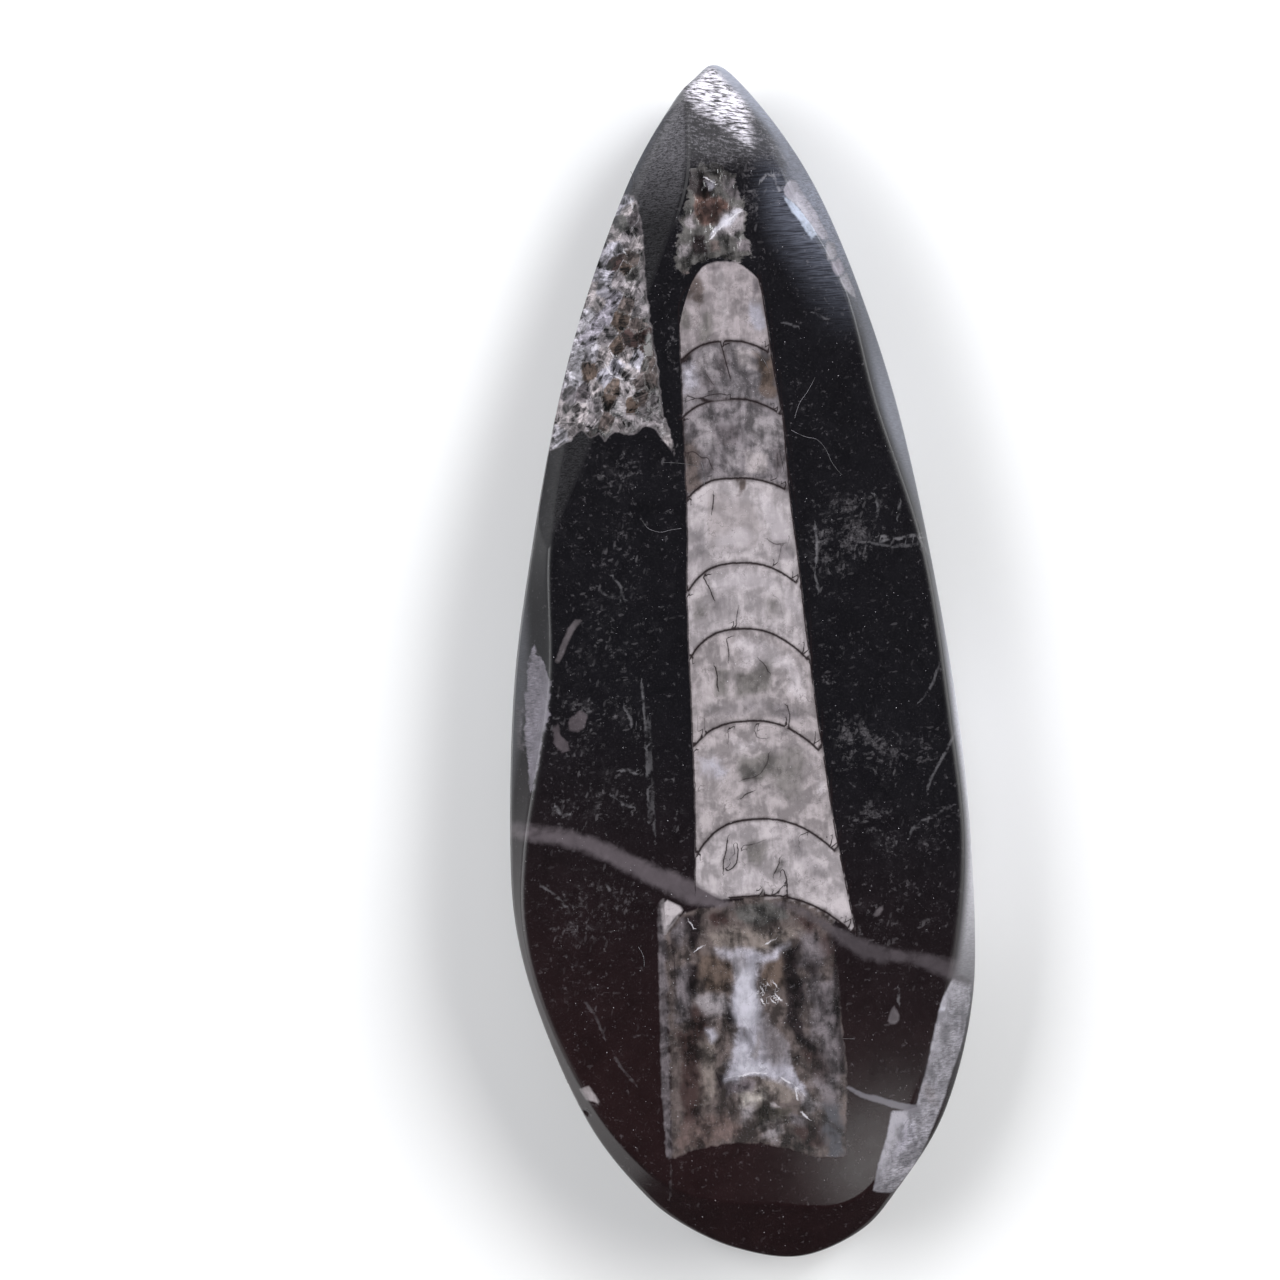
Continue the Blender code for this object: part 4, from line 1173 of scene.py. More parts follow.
septa = []
for n in range(1, 9):
    span = shell_edges(SEPTA[n][1] - 2.5) if n < 8 else LAST_SPAN
    xs = np.linspace(*span, ARC_STEPS)
    septa.append((1.9, np.stack([xs, septum_line(n, xs)], axis=1)))
walls = [
    (1.0, [(edge, up) for up, edge in SHELL_RIGHT[1:]]),
    (0.35, [(edge + 0.75, up) for up, edge in SHELL_RIGHT[1:]]),
    (0.7, [(edge, up) for up, edge in SHELL_LEFT[3:]]),
]
cracks = line_field(septa + walls + CRACKS)
pale_lines = line_field(HASH_AND_GLINTS)


def vein_field(*veins):
    """How deep inside the nearest vein each point is; each vein is x, y, half width."""
    out = np.full(count, -REACH)
    for vein in veins:
        vein = np.array(vein)
        far, _, along = distance_to_path(cut, vein[:, :2])
        half = np.interp(along * (len(vein) - 1), np.arange(len(vein)), vein[:, 2])
        out = np.maximum(out, half - far)
    return np.clip(out, -REACH, REACH)


mass_in, grains_in = depths_in["crystal_mass"], depths_in["grains_above"]
veins = np.stack([
    vein_field(FAULT_LEFT, FAULT_STRAND, FAULT_RIGHT), vein_field(BRANCH), mass_in,
], axis=1)

on_face = normal[:, 2] > 0.2
edge_far, _, edge_along = distance_to_path(xy, columns.outline, closed=True)
edge_place = edge_along * len(EDGE)
bevel_here = closed_curve(EDGE, edge_place)[:, 2]
bevel_tone = closed_curve(np.array(BEVEL_REFLECTION_TONES)[:, None], edge_place)[:, 0]
flat_in = face_height(x, y) - flat_height(x, y)
edge = np.stack([edge_far, edge_far - bevel_here, np.clip(flat_in, -REACH, REACH)], axis=1)
print("calcite covers", round(float((calcite_in[on_face] > 0).mean()), 3), "of the face's points")

# %% [markdown]
# ## Storing the fields on the mesh
# Each field becomes a vector attribute of the points. The names say what they hold.

# %% Attributes
def store(name, values, mesh=stone_mesh):
    """An attribute of the points: a number, a vector or a colour, by the width of values."""
    values = np.ascontiguousarray(values, np.float32)
    kind, key = {
        1: ("FLOAT", "value"), 3: ("FLOAT_VECTOR", "vector"), 4: ("FLOAT_COLOR", "color"),
    }[values.size // len(values)]
    mesh.attributes.new(name, kind, "POINT").data.foreach_set(key, values.ravel())


broken = 0.5 * np.clip(mass_in / 1.2 - 0.1, 0, 1) + 0.22 * np.clip(grains_in / 1.2, 0, 1)
broken = broken * on_face

for name, values in {
    "calcite": np.stack([calcite_in, opacity, ragged], axis=1),
    "fill": np.column_stack([fill, mottle]), "wash": np.column_stack([wash, cover]),
    "cracks": cracks, "pale_lines": pale_lines, "veins": veins, "edge": edge,
    "bevel_tone": bevel_tone, "crowd": crowd, "broken": broken,
}.items():
    store(name, values)
print("stored:", [a.name for a in stone_mesh.attributes if not a.name.startswith(".")])

# %% [markdown]
# ## Broken spar
# The mass by the left edge and the grains above the shell are coarse calcite. Calcite
# splits along flat planes, so each crystal is a small facet of its own tilt, depth and
# shade. That is a rule, and Geometry Nodes can apply it: every point of the stone looks up
# the crystal nearest to it, sinks to that crystal's plane, and takes on its shade. The
# larger crystals are listed one by one; small ones fill the gaps, at least a grain's width
# apart.

# %% Crystals
# The large crystals, several to a row: x, y, colour
CRYSTALS = [crystal for row in table("""
-9.6 56.6 frost  -9.4 55.4 bone  -10.5 53.7 moss  -9.1 54.2 ash  -11.6 52.3 bone  -9.8 51.8 smoke
-8.9 50.8 bone  -11.7 50.6 frost  -11.6 48.9 peat  -10.2 48 umber  -9.6 47 moss  -9.7 45.8 pearl
-8.6 45.6 smoke  -11.2 46.8 smoke  -12.6 47.2 frost  -8.7 42.8 smoke  -10.5 43.6 drab
-12 44.2 lilac  -13 42.6 lilac  -14 44.2 bone  -11.3 41.8 umber  -9 41 drab  -10.2 39.4 peat
-8.3 39.6 peat  -11.8 38.5 umber  -12.9 39.9 smoke  -10.9 37.5 bone  -9.4 36.7 frost  -12 36 frost
-13.4 34.9 frost  -10.4 35.2 pearl  -8.2 36.2 drab  -7.8 38 peat  -14.6 33.6 bone  -7.9 34.2 drab
-9.1 32.4 drab  -7.8 31.6 smoke  -10.4 31.3 umber  -11.8 31.4 smoke  -13.1 32.2 umber
-14.9 31.6 smoke  -16 33.2 ash  -15.4 36 umber  -16.6 31 bone  -18 30 bone  -13.6 29.4 drab
-10.1 29.5 smoke  -12 28.6 bone  -7.6 29.2 smoke  -6.2 27 bone  -17.4 28.4 bone
-19.2 28 frost_grey  -17 35.4 frost_grey  -16.6 38.2 frost_grey  -15.4 40 lilac  -14.4 41.4 lilac
-13.6 37.4 bone  -15.2 42.6 frost_grey  -1.4 57.3 ink  -0.5 56.1 ink  0.8 58.2 drab  1.5 57 peat
0.1 55 umber  1.5 54.4 umber  -0.9 53.8 rust  1.1 52 smoke  2 52.6 bone  3.2 53.9 bone
-2.1 53.2 drab  -1.2 51.9 umber  0.1 51.4 ash  -2.1 55.2 peat  3 56.4 drab  2.4 57.6 moss
3.6 51.6 moss  2.6 50.3 drab  -1.2 49.9 ink  -2.4 49 peat  -3.6 48.4 drab  0.1 49.6 drab
4.6 50 peat  4.6 53 moss  1 60 moss  -0.6 60.6 moss  2.2 60.2 peat  3 58.8 umber  3.9 57.4 peat
-1.5 58.9 peat  4 55.2 drab
""") for crystal in grouped(row, 3)]
SMALL_SHADES = ["smoke", "bone", "umber", "drab", "ash", "peat", "frost_grey", "bone", "smoke"]
GRAIN, GRAIN_SEED = 1.45, 11        # least distance between small crystals
ROUND_LARGE, ON_THE_SIDE = 1.3, 1.7   # the same beside a large one, and down the side
OVERLAP, TILT_SPREAD = -0.8, 0.20     # seeds may lie this far outside the spar


def spar_depth(spots):
    """How deep inside the mass or the grains each spot lies."""
    mass, grains = (inside(spots, OUTLINE_OF[name]) for name in ("crystal_mass", "grains_above"))
    return np.maximum(mass, grains)


draw = np.random.default_rng(GRAIN_SEED)
seeds = [(cx, cy) for cx, cy, _ in CRYSTALS]
shades = [COLOURS[name] for _, _, name in CRYSTALS]
tries = draw.uniform((-23, 24), (7, 64), (9000, 2))
tones = draw.integers(0, len(SMALL_SHADES), len(tries))
fits = spar_depth(tries) > OVERLAP
for (cx, cy), tone in zip(tries[fits], tones[fits]):
    gaps = np.hypot(*(np.array(seeds) - (cx, cy)).T)
    if gaps[:len(CRYSTALS)].min() > ROUND_LARGE and gaps.min() > GRAIN:
        seeds.append((cx, cy))
        nearest_big = gaps[:len(CRYSTALS)].argmin()
        mixed = 0.2 * np.array(COLOURS[SMALL_SHADES[tone]]) + 0.8 * np.array(shades[nearest_big])
        shades.append(tuple(mixed * draw.uniform(0.55, 1.4)))
seeds, shades = np.array(seeds), np.array(shades)
near_limestone = np.clip(0.45 + spar_depth(seeds) / 2.2, 0.45, 1)[:, None]
shades = shades * near_limestone
spots = np.column_stack([seeds, np.minimum(face_height(*seeds.T), flat_height(*seeds.T))])
on_wall = np.flatnonzero((mass_in > -0.5) & (place[:, 2] < 15.5) & (place[:, 2] > 0.5))
for n in draw.permutation(on_wall)[:2500]:    # and down the side, where the mass comes out
    off = spots - place[n]
    if np.hypot(*off.T[:2]).min() > 0.1 and np.sqrt((off ** 2).sum(1)).min() > ON_THE_SIDE:
        shade = COLOURS[SMALL_SHADES[draw.integers(len(SMALL_SHADES))]]
        spots = np.vstack([spots, place[n]])
        shades = np.vstack([shades, np.array(shade) * draw.uniform(0.6, 1.2)])
big = np.arange(len(spots)) < len(CRYSTALS)
tilts = draw.normal(0, TILT_SPREAD, (len(spots), 2))
turns = draw.uniform(0, 2 * np.pi, len(spots))
sinks = draw.uniform(0.05, 0.5, len(spots))
dark = shades.mean(axis=1) < 0.06
sinks = np.where(dark & big, sinks + 0.35, sinks)

near_spar = np.flatnonzero((mass_in > -1) | (broken > 0))
border = np.full(count, 1.0)
for chunk in np.array_split(near_spar, 24):
    gaps = np.sqrt(((place[chunk, None] - spots[None]) ** 2).sum(-1))
    gaps.partition(1, axis=1)
    border[chunk] = gaps[:, 1] - gaps[:, 0]
store("border", border)

crystal_mesh = bpy.data.meshes.new("crystal_seeds")
crystal_mesh.from_pydata(spots.tolist(), [], [])
store("tilt", np.column_stack([tilts, sinks]), crystal_mesh)
store("turn", np.column_stack([np.cos(turns), np.sin(turns), turns]), crystal_mesh)
store("shade", np.column_stack([shades, np.ones(len(shades))]), crystal_mesh)
crystal_seeds = bpy.data.objects.new("crystal_seeds", crystal_mesh)
scene.collection.objects.link(crystal_seeds)
print(f"{big.sum()} large crystals, {(~big).sum()} small ones")

# %% [markdown]
# The tree below does the look-up. `Sample Nearest` gives the number of the nearest crystal,
# `Sample Index` reads its tilt, its depth, its place and its shade, and `Set Position`
# lowers the point. How far is set by the attribute `broken`, which is 0 on the polish.

# %% The tree that breaks the spar
class GeometryTree(Tree):
    """A Geometry Nodes group with named inputs."""

    def __init__(self, name, inputs):
        super().__init__(bpy.data.node_groups.new(name, "GeometryNodeTree"))
        face = self.node_tree.interface
        face.new_socket("Geometry", in_out="INPUT", socket_type="NodeSocketGeometry")
        face.new_socket("Geometry", in_out="OUTPUT", socket_type="NodeSocketGeometry")
        self.identifiers = {}
        for label, kind, value in inputs:
            socket = face.new_socket(label, in_out="INPUT", socket_type=kind)
            self.identifiers[label] = (socket.identifier, value)
        self.enter = self.node_tree.nodes.new("NodeGroupInput")

    def given(self, label):
        return Wire(self, self.enter.outputs[label])

    def leave(self, geometry, material):
        """Ends the tree: real geometry with its material."""
        real = self.node("GeometryNodeRealizeInstances", {}, {0: geometry})
        finish = self.node("GeometryNodeSetMaterial", {}, {0: real, "Material": material})
        self.node("NodeGroupOutput", {}, {"Geometry": finish})

    def apply(self, name, mesh):
        """Runs the tree on a mesh and returns the result as a plain object."""
        carrier = bpy.data.objects.new(name + "_carrier", mesh)
        scene.collection.objects.link(carrier)
        modifier = carrier.modifiers.new("tree", "NODES")
        modifier.node_group = self.node_tree
        for identifier, value in self.identifiers.values():
            modifier[identifier] = value
        carrier.update_tag()
        graph = bpy.context.evaluated_depsgraph_get()
        result = bpy.data.meshes.new_from_object(carrier.evaluated_get(graph))
        result.name = name
        bpy.data.objects.remove(carrier, do_unlink=True)
        thing = bpy.data.objects.new(name, result)
        scene.collection.objects.link(thing)
        return thing


polish, finish = new_finish("polished_fossil_limestone")

spar = GeometryTree("broken_spar", [
    ("Crystals", "NodeSocketObject", crystal_seeds),
    ("Depth", "NodeSocketFloat", 1.0),
    ("Deepest", "NodeSocketFloat", 1.1),
])
info = spar.node("GeometryNodeObjectInfo", {}, {0: spar.given("Crystals")}, "Geometry")
spot = spar.node("GeometryNodeInputPosition")
number = spar.node("GeometryNodeSampleNearest", {"domain": "POINT"}, {0: info, 1: spot})


def of_crystal(kind, value):
    settings = {"data_type": kind, "domain": "POINT"}
    return spar.node("GeometryNodeSampleIndex", settings, {0: info, 1: value, "Index": number})


def named(kind, name):
    return spar.node("GeometryNodeInputNamedAttribute", {"data_type": kind}, {"Name": name})


def stored(geometry, kind, name, value):
    settings = {"data_type": kind, "domain": "POINT"}
    sockets = {0: geometry, "Name": name, "Value": value}
    return spar.node("GeometryNodeStoreNamedAttribute", settings, sockets)


tilt = of_crystal("FLOAT_VECTOR", named("FLOAT_VECTOR", "tilt"))
heart = of_crystal("FLOAT_VECTOR", spot)
shade = of_crystal("FLOAT_COLOR", named("FLOAT_COLOR", "shade"))
turn = of_crystal("FLOAT_VECTOR", named("FLOAT_VECTOR", "turn"))
tilt_x, tilt_y, sink = spar.parts(tilt)
off_x, off_y, _ = spar.parts(spar.vector("SUBTRACT", spot, heart))
slope = tilt_x * off_x + tilt_y * off_y
plane = sink + slope
cos_turn, sin_turn, _ = spar.parts(turn)
across = cos_turn * off_x + sin_turn * off_y
cleavage = spar.node("ShaderNodeCombineXYZ", {}, {0: across, 1: slope, 2: sin_turn})
plane = spar.math("MINIMUM", spar.math("MAXIMUM", plane, 0.02), spar.given("Deepest"))
drop = plane * named("FLOAT", "broken") * spar.given("Depth") * -1
offset = spar.node("ShaderNodeCombineXYZ", {}, {2: drop})
lowered = spar.node("GeometryNodeSetPosition", {}, {0: spar.given("Geometry"), "Offset": offset})
shaded = stored(lowered, "FLOAT_COLOR", "crystal_shade", shade)
spar.leave(stored(shaded, "FLOAT_VECTOR", "cleavage", cleavage), polish)
stone = spar.apply("orthoceras_stone_polished", stone_mesh)
bpy.data.objects.remove(crystal_seeds, do_unlink=True)

stone.data.transform(Matrix.Scale(MM, 4))
stone.data.shade_smooth()
stone.data.set_sharp_from_angle(angle=radians(17))
print(stone.name, len(stone.data.vertices), "points,", "material", stone.data.materials[0].name)

# %% [markdown]
# ## The finish
# One material covers the stone. From below it reads: black limestone with fine grain and
# shell hash and a painted warm reflection, calcite inside the outlines with painted glints
# and painted facet shade in the spar, veins over both, then septa and cracks, and last the
# marks of grinding and a little dust, with painted reflections on the bevels, the flat and
# the shoulder, a painted highlight on the nose and painted shade along the ridge. Each layer
# is one mask and one blend.

# %% Short names for the finish
step, fade, blend, noise = finish.step, finish.fade, finish.blend, finish.noise
parts, attribute, vector = finish.parts, finish.attribute, finish.vector


def times(colour, factor):
    """A colour made lighter or darker by a number."""
    grey = finish.node("ShaderNodeCombineColor", {}, {0: factor, 1: factor, 2: factor})
    return blend(1.0, colour, grey, "MULTIPLY")


def combined(*values):
    """A vector made of up to three numbers."""
    return finish.node("ShaderNodeCombineXYZ", {}, dict(enumerate(values)))


def stretched(*factors):
    return vector("MULTIPLY", mm, factors)


def bent_by(*amounts, start=None):
    """The place on the stone, pushed about by noise."""
    return vector("MULTIPLY_ADD", push, amounts, start or mm)


def voronoi(place, scale, output="Distance", **settings):
    sockets = {"Vector": place, "Scale": scale}
    return finish.node("ShaderNodeTexVoronoi", settings, sockets, output)


mm = millimetres(finish)
mm_x, mm_y, mm_z = parts(mm)
push = vector("SUBTRACT", noise(mm, 1.1, 3.0, output=1), (0.5, 0.5, 0.5))
bent = bent_by(1.3, 1.3, 1.3)

# %% Limestone
COLD_BLACK, WARM_REFLECTION_BLACK = (0.0062, 0.0058, 0.0074, 1), (0.0150, 0.0072, 0.0078, 1)
HASH_WHITE = (1, 0.94, 1, 1)

large = noise(mm, 0.36, 6.0, 0.55, Distortion=0.8)
medium = noise(mm, 0.85, 6.0, 0.56, Distortion=0.5)
fine = noise(mm, 4.2, 3.0, 0.7)
upright = noise(stretched(1.5, 0.42, 1.0), 1.0, 5.0, 0.58)

# painted reflection: the black turns warmer towards the butt and the left side
warm_reflection = step(mm_y * -1 - mm_x * 0.35, 4.0, 62.0)
limestone = times(blend(warm_reflection, COLD_BLACK, WARM_REFLECTION_BLACK), 0.55 + 0.9 * large)


bent_x, bent_y, _ = parts(bent_by(0.4, 0.4, 0.4))


def marks(lengthwise, across, lean, share, size, seed):
    """Small marks: cells of a stretched Voronoi pattern, of which the crowd shows a share."""
    c, s = cos(radians(lean)), sin(radians(lean))
    turned = combined(
        (bent_x * c + bent_y * s) * lengthwise + seed, (bent_y * c - bent_x * s) * across, mm_z,
    )
    far = voronoi(turned, 1.0)
    lot = parts(far.also("Color"))
    shown = step(crowd * share - lot[0], -0.04, 0.04) * (0.12 + 0.88 * lot[1] * lot[1])
    return far, shown * fade(far + (fine - 0.5) * 0.2, size * 0.6, size)


gathered = step(noise(mm, 0.28, 2.0, 0.5), 0.42, 0.60)
crowd = attribute("crowd", "Fac") * (0.15 + 0.6 * large + 0.85 * gathered)
crowd = crowd * (1 - 0.35 * step(mm_x * -1, 0.0, 6.0))
_, bars_a = marks(1.0, 2.7, 8, 0.5, 0.5, 19)
_, bars_b = marks(0.9, 2.6, 72, 0.5, 0.5, 37)
rings, _ = marks(0.62, 0.85, 130, 1.0, 0.6, 51)
arcs = fade(abs(rings - 0.38), 0.02, 0.07) * step(medium, 0.56, 0.66) * crowd
crumbs = step(noise(mm, 1.5, 3.0, 0.5) + crowd * 0.26, 0.62, 0.74)
small_crumbs = step(noise(mm, 3.6, 2.0, 0.5) + crowd * 0.16, 0.66, 0.76)
haze = step(medium, 0.50, 0.74) * crowd
shown = (
    0.044 * crumbs * (0.25 + 1.1 * step(fine, 0.40, 0.68)) + 0.022 * small_crumbs
    + 0.048 * (bars_a + bars_b) + 0.040 * arcs + 0.034 * haze + 0.010 * step(fine, 0.48, 0.80)
)
limestone = blend(shown, limestone, HASH_WHITE)

# %% Calcite inside the outlines
SEAM, WISP = (0.060, 0.048, 0.048, 1), (0.035, 0.026, 0.027, 1)
MILK, GLINT_WHITE = (0.75, 0.72, 0.78, 1), (0.80, 0.78, 0.84, 1)
SPAR_SCALE = 0.42

depth_in, opacity_in, ragged_in = parts(attribute("calcite"))
frets = medium - 0.5
inside_calcite = step(depth_in + frets * ragged_in * 3.4, -0.16, 0.16) * opacity_in

mottle = attribute("fill", "Alpha")
raggedness = (large - 0.5) * 1.0 + (medium - 0.5) * 1.3 + (fine - 0.5) * 0.3
washed = step(attribute("wash", "Alpha") + raggedness * (0.45 + 0.35 * mottle), 0.12, 0.80)
calcite = blend(washed, attribute("fill", "Color"), attribute("wash", "Color"))

cloud = noise(mm, 0.42, 2.0, 0.5, Distortion=0.7)
cells = bent_by(2.6, 2.6, 1.0, start=stretched(1.0, 0.8, 1.0))
spar_far, second_far = (voronoi(cells, SPAR_SCALE, feature=which) for which in ("F1", "F2"))
spar_lot = parts(spar_far.also("Color"))
tone = 0.34 * large + 0.30 * cloud + 0.14 * medium + 0.22 * upright
tone = (
    0.22 + 1.40 * step(tone, 0.42, 0.585) + 0.30 * (spar_lot[0] - 0.5) + 0.42 * (fine - 0.5)
)
calcite = times(calcite, 1 + mottle * (tone - 0.95))
seam = fade(second_far - spar_far, 0.0, 0.035) * step(large, 0.46, 0.58)
calcite = blend(seam * 0.42, calcite, SEAM)
threads = noise(mm, 0.62, 5.0, 0.6, Distortion=1.3)
wisps = fade(abs(threads - 0.5), 0.0, 0.020) * step(medium, 0.44, 0.60)
calcite = blend(wisps * mottle * 0.55, calcite, WISP)
milk = fade(abs(threads - 0.565), 0.0, 0.012) * step(fine, 0.45, 0.7)
calcite = blend(milk * 0.22, calcite, MILK)
# painted glints: tiny white specks scattered over the calcite
painted_glints = step(noise(mm, 5.5, 1.0, 0.5), 0.73, 0.79) * step(medium, 0.48, 0.6)
calcite = blend(painted_glints * 0.6, calcite, GLINT_WHITE)

# %% Broken spar
GAP_DARK, GAP_GLINT = (0.030, 0.022, 0.022, 1), (0.40, 0.38, 0.42, 1)

fault, branch, mass_here = parts(attribute("veins"))
in_mass = step(mass_here + frets * 1.2, -0.1, 0.25)
across, slope, lot = parts(attribute("cleavage"))
cleaved = noise(combined(across * 4.5, lot * 30, medium * 1.4), 1.0, 3.0, 0.6)
# painted shade: each crystal is darker where its facet dips deeper, by the slope term
crystal_tone_and_facet_shade = (
    0.04 + 1.0 * step(medium, 0.38, 0.62) + 0.44 * step(cleaved, 0.36, 0.64) - 1.1 * slope
)
shard = parts(voronoi(bent, 1.25, "Color", distance="CHEBYCHEV"))[0]
crystal = times(attribute("crystal_shade", "Color"), crystal_tone_and_facet_shade * (0.50 + 1.1 * shard))
# crystal borders: dark gaps in places, and in others a painted glint along the edge
gap = fade(attribute("border", "Fac") + (fine - 0.5) * 0.25, 0.02, 0.16)
gap_dark_and_glint = blend(step(medium, 0.49, 0.55), GAP_DARK, GAP_GLINT)
crystal = blend(gap * 0.50, crystal, gap_dark_and_glint)
calcite = blend(in_mass, calcite, crystal)

# %% Veins, septa, cracks and pale lines
VEIN, BRANCH_GREY, HALO = (0.100, 0.084, 0.093, 1), (0.17, 0.16, 0.18, 1), (0.05, 0.038, 0.038, 1)
CRACK_BLACK, SHELL_PALE_AND_GLINT = (0.014, 0.009, 0.010, 1), (0.62, 0.60, 0.64, 1)

edge_far, past_bevel, past_flat = parts(attribute("edge"))
on_bevel = fade(past_bevel, -1.3, 0.1)
wheel = noise(stretched(0.35, 6.0, 2.5), 1.0, 3.0, 0.62)
calcite = times(calcite, 1 + 2.4 * on_bevel * (wheel - 0.5))
surface = blend(inside_calcite, limestone, calcite)
fault_mask = step(fault + frets * 1.1, -0.55, 0.50)
branch_mask = step(branch + frets * 0.4, -0.14, 0.16) * 0.8
vein_tone = (0.35 + 0.75 * large + 0.5 * medium) * (1 - 0.35 * step(mm_x, 3.0, 12.0))
surface = blend(fault_mask * 0.92, surface, times(VEIN, vein_tone))
surface = blend(branch_mask, surface, BRANCH_GREY)

crack_side, crack_far, crack_power = parts(attribute("cracks"))
wobble = (medium - 0.5) * 0.22 + (fine - 0.5) * 0.12
crack_line = fade(abs(crack_side + wobble), crack_power * 0.02, crack_power * 0.09 + 0.05)
faint = step(medium + crack_power * 0.35, 0.48, 0.75)
crack_halo = fade(crack_far, 0.05, 0.5) * crack_power * 0.30 * faint
crack_mask = crack_line * fade(crack_far, 0.5, 0.7) * step(crack_power, 0.0, 1.0)
surface = blend(crack_halo * inside_calcite, surface, HALO)
surface = blend(crack_mask * (0.35 + 0.6 * faint), surface, CRACK_BLACK)

hash_side, hash_far, hash_power = parts(attribute("pale_lines"))
# strengths rising from 1.2 to 1.5 turn a pale line into a thinner, whiter painted glint
bright = step(hash_power, 1.2, 1.5)
wander = (medium - 0.5) * 0.6 + (fine - 0.5) * 0.3
hash_line = fade(abs(hash_side + wander), 0.03, 0.26 - 0.12 * bright)
hash_and_glint_mask = hash_line * fade(hash_far, 0.5, 0.75) * step(medium, 0.36, 0.58)
surface = blend(hash_and_glint_mask * hash_power * 0.24 * (1 + bright), surface, SHELL_PALE_AND_GLINT)

# %% Bevels and grinding, with painted reflections, a painted highlight and painted shade
GROUND_REFLECTION_BUTT, GROUND_REFLECTION_POINT = (1.0, 0.98, 1.05, 1), (0.92, 0.97, 1.16, 1)
SHEEN, FLAT_REFLECTION_GREY = (0.80, 0.86, 1.10, 1), (0.95, 0.92, 1.0, 1)
RIDGE_SHADE_BLACK, NOSE_HIGHLIGHT_WHITE = (0.010, 0.009, 0.011, 1), (1.0, 0.955, 1.05, 1)

bevel_tone = attribute("bevel_tone", "Fac")
fine_lines = noise(stretched(0.6, 14.0, 6.0), 1.0, 2.0, 0.5)
slanted = vector("ADD", mm, combined(0, mm_x * 0.22))
strokes = noise(vector("MULTIPLY", slanted, (0.9, 4.0, 0.5)), 1.0, 3.0, 0.6)

# painted reflection on the bevels: a grey that is partly the duller ground finish and partly
# mirrored light, bluer towards the point and brightest on the right
ground_and_reflection = blend(step(mm_y, -40.0, 50.0), GROUND_REFLECTION_BUTT, GROUND_REFLECTION_POINT)
ground_and_reflection = times(ground_and_reflection, bevel_tone * (0.45 + 1.1 * wheel))
ground_and_reflection_mask = on_bevel * (1 - inside_calcite * 0.55) * step(bevel_tone, 0.0, 0.05)
ground_and_reflection_mask = ground_and_reflection_mask * (1 - step(mm_x * -1, 8.0, 16.0) * step(past_bevel, -3.2, -1.8))
surface = blend(ground_and_reflection_mask * 0.85, surface, ground_and_reflection)
# painted reflection: a soft blue-grey sheen on the face beside the right bevel near the point,
# streaked by grinding lines
sheen = fade(past_bevel, -0.5, 6.5) * step(mm_y, 36.0, 52.0) * step(mm_x, 4.0, 8.0)
sheen = sheen * (1 - 0.6 * step(mm_y, 55.0, 60.0))
sheen = sheen * (0.4 + 1.2 * step(fine_lines + wheel, 0.8, 1.2))
surface = blend(sheen * (1 - inside_calcite) * 0.10, surface, SHEEN)
# painted reflection: the flat left of the point is painted grey, lighter towards the point, with
# its grinding lines
on_flat = step(past_flat, -0.10, 0.45)
flat_reflection_tone = 0.018 + 0.10 * step(mm_y, 52.0, 65.0)
flat_reflection_tone = flat_reflection_tone * (0.3 + 1.5 * step(fine_lines + wheel, 0.75, 1.25))
shown = on_flat * (1 - on_bevel) * (1 - inside_calcite)
surface = blend(shown * 0.9, surface, times(FLAT_REFLECTION_GREY, flat_reflection_tone))

# painted shade: a dark line along the crease where the flat meets the face
ridge_shade = fade(abs(past_flat + 0.12), 0.04, 0.20) * step(mm_y, 50.0, 58.0)
surface = blend(ridge_shade * 0.8, surface, RIDGE_SHADE_BLACK)
# painted highlight: the nose of the point is painted pale, brightest near the tip, broken by
# grinding lines
nose = step(mm_y, 58.5, 62.5) * step(mm_z, 5.0, 9.0) * (1 - on_flat) * (1 - on_bevel)
painted_nose_highlight = step(mm_y + 0.9 * mm_x + (medium - 0.5) * 4.0, 65.4, 68.4) * fade(mm_x, 4.6, 6.6)
scored = step(strokes + (fine_lines - 0.5) * 0.6, 0.36, 0.60)
nose_highlight_tone = 0.030 + 0.22 * step(strokes + fine, 0.95, 1.25) + 0.85 * painted_nose_highlight * scored
surface = blend(nose * (0.55 + 0.4 * painted_nose_highlight), surface, times(NOSE_HIGHLIGHT_WHITE, nose_highlight_tone))
under = fade(mm_z, 7.0, 12.0)
roughness = (
    0.11 + 0.06 * large + 0.08 * inside_calcite + 0.50 * under
    + 0.26 * fade(past_bevel, 0.0, 0.9) * step(mm_y, -60.0, -45.0)
    + nose * 0.22 + 0.35 * ridge_shade
)
relief = (      # in millimetres
    0.003 * fine_lines + 0.002 * fine
    + 0.011 * step(strokes, 0.42, 0.60) * step(mm_y, 57.0, 62.0) * (1 - on_flat)
    + 0.030 * inside_calcite * mottle * medium + 0.04 * in_mass * cleaved
)
bump = finish.node("ShaderNodeBump", {}, {"Strength": 0.5, "Distance": MM, "Height": relief})
principled(finish, {"Base Color": surface, "Roughness": roughness, "Normal": bump, "IOR": 1.55})
print("finish has", len(finish.node_tree.nodes), "nodes")

# %% [markdown]
# ## Dust and lint
# A black polish shows every speck. Dust is many of the same small thing on one surface, a
# plain task for Geometry Nodes: points are scattered over the face, each gets a small closed
# grain, and size and turn are random with a fixed seed. The lint is a few listed
# fibres: a thin round profile that follows each curve.

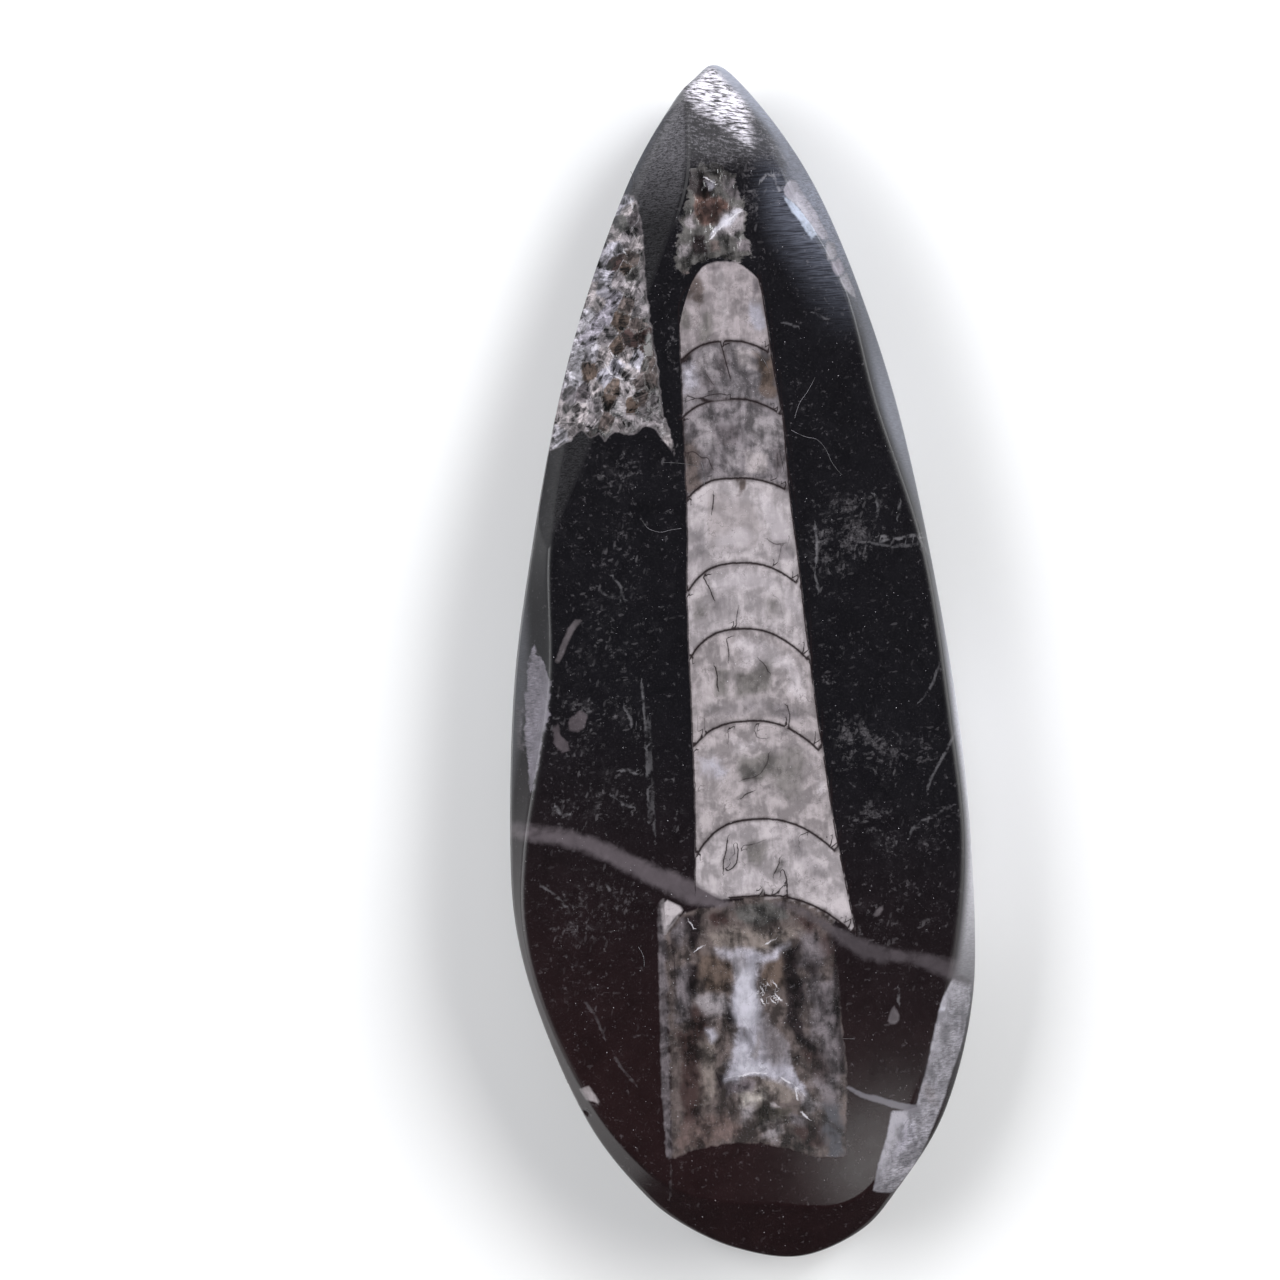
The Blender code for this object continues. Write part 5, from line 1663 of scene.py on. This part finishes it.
# %% The finish of dust and lint
def dusty(name, low, high):
    """A rough, patchy grey for specks and fibres."""
    material, tree = new_finish(name)
    place = millimetres(tree)
    patchy = tree.step(tree.noise(place, 0.8, 3.0), 0.35, 0.65)
    weave = tree.noise(place, 9.0, 2.0)
    relief = tree.node("ShaderNodeBump", {}, {"Strength": 0.4, "Distance": 0.0001, "Height": weave})
    principled(tree, {
        "Base Color": tree.blend(patchy, (*low, 1), (*high, 1)), "Roughness": 0.75 + 0.2 * weave,
        "Normal": relief,
    })
    return material


dust_finish = dusty("settled_dust", (0.10, 0.095, 0.10), (0.62, 0.60, 0.64))
lint_finish = dusty("lint", (0.07, 0.068, 0.07), (0.22, 0.21, 0.23))

# %% Dust
dust = GeometryTree("settled_dust", [
    ("Specks per square mm", "NodeSocketFloat", 0.16),
    ("Smallest", "NodeSocketFloat", 0.020),
    ("Largest", "NodeSocketFloat", 0.062),
    ("Seed", "NodeSocketInt", 5),
])
up = dust.parts(dust.node("GeometryNodeInputNormal"))[2]
above = dust.math("GREATER_THAN", up, 0.8)
specks = dust.node("GeometryNodeDistributePointsOnFaces", {"distribute_method": "RANDOM"}, {
    "Mesh": dust.given("Geometry"), "Selection": above,
    "Density": dust.given("Specks per square mm"), "Seed": dust.given("Seed"),
})
grain = dust.node("GeometryNodeMeshIcoSphere", {}, {"Radius": 1.0, "Subdivisions": 1})
lot = dust.node("FunctionNodeRandomValue", {"data_type": "FLOAT"}, {2: 0.0, 3: 1.0, "Seed": 9}, 1)
size = dust.given("Smallest") + (dust.given("Largest") - dust.given("Smallest")) * lot ** 3
turned = dust.node(
    "FunctionNodeRandomValue", {"data_type": "FLOAT_VECTOR"},
    {0: (0, 0, 0), 1: (6, 6, 6), "Seed": 2},
)
grains_on = dust.node("GeometryNodeInstanceOnPoints", {}, {
    "Points": specks, "Instance": grain, "Rotation": turned, "Scale": size,
})
dust.leave(grains_on, dust_finish)
surface_dust = dust.apply("settled_dust", stone_mesh.copy())
surface_dust.data.transform(Matrix.Scale(MM, 4))
print("dust:", len(surface_dust.data.polygons), "faces")

# %% Lint
FIBRES = [grouped(row) for row in table("""
8.6 27.4 10.2 26.4 11.6 26.3 12.7 24.9 13.3 23 14.4 21.7
11.8 33.6 10.9 31.9 9.6 30.6 9.1 28.8
-9.9 17.6 -9.4 16.6 -8.6 16.2 -7.6 15.9 -6.6 16.2 -5.2 16.3
-12.8 31.2 -11 30.2 -9.4 30.6 -7.8 29.4 -6.2 28.9
-7 24.3 -4.4 24.2 -2.8 23.6
-2.4 24.1 -1.9 22.7 -2.2 21.3
11 -45.9 12.4 -46
-9 60 -8.4 58.6 -8.9 57.4
4.4 37.4 5.6 36.6 6.2 35
-13 -33.6 -12.2 -34.6 -12.4 -36
""")]
LINT_ABOVE = 0.03       # height of a fibre's middle over the face
lint_curve = bpy.data.curves.new("lint_paths", "CURVE")
lint_curve.dimensions = "3D"
for path in FIBRES:
    spline = lint_curve.splines.new("NURBS")
    spline.points.add(len(path) - 1)
    spline.order_u, spline.use_endpoint_u, spline.resolution_u = 3, True, 5
    for spot, (fx, fy) in zip(spline.points, path):
        spot.co = (fx, fy, min(face_height(fx, fy), flat_height(fx, fy)) + LINT_ABOVE, 1)
lint_paths = bpy.data.objects.new("lint_paths", lint_curve)
scene.collection.objects.link(lint_paths)

lint_tree = GeometryTree("lint_fibres", [
    ("Paths", "NodeSocketObject", lint_paths),
    ("Thickness", "NodeSocketFloat", 0.055),
])
paths = lint_tree.node("GeometryNodeObjectInfo", {}, {0: lint_tree.given("Paths")}, "Geometry")
radius = lint_tree.given("Thickness") / 2
ring = lint_tree.node("GeometryNodeCurvePrimitiveCircle", {}, {"Resolution": 5, "Radius": radius})
tube = lint_tree.node(
    "GeometryNodeCurveToMesh", {}, {"Curve": paths, "Profile Curve": ring, "Fill Caps": True},
)
lint_tree.leave(tube, lint_finish)
lint = lint_tree.apply("lint_fibres", bpy.data.meshes.new("nothing"))
lint.data.transform(Matrix.Scale(MM, 4))
bpy.data.objects.remove(lint_paths, do_unlink=True)
print("lint:", len(lint.data.polygons), "faces")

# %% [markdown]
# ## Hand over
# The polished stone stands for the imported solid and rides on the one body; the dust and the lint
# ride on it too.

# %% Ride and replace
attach(stone, "root")
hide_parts("orthoceras_stone")
for trace in (surface_dust, lint):
    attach(trace, "root")
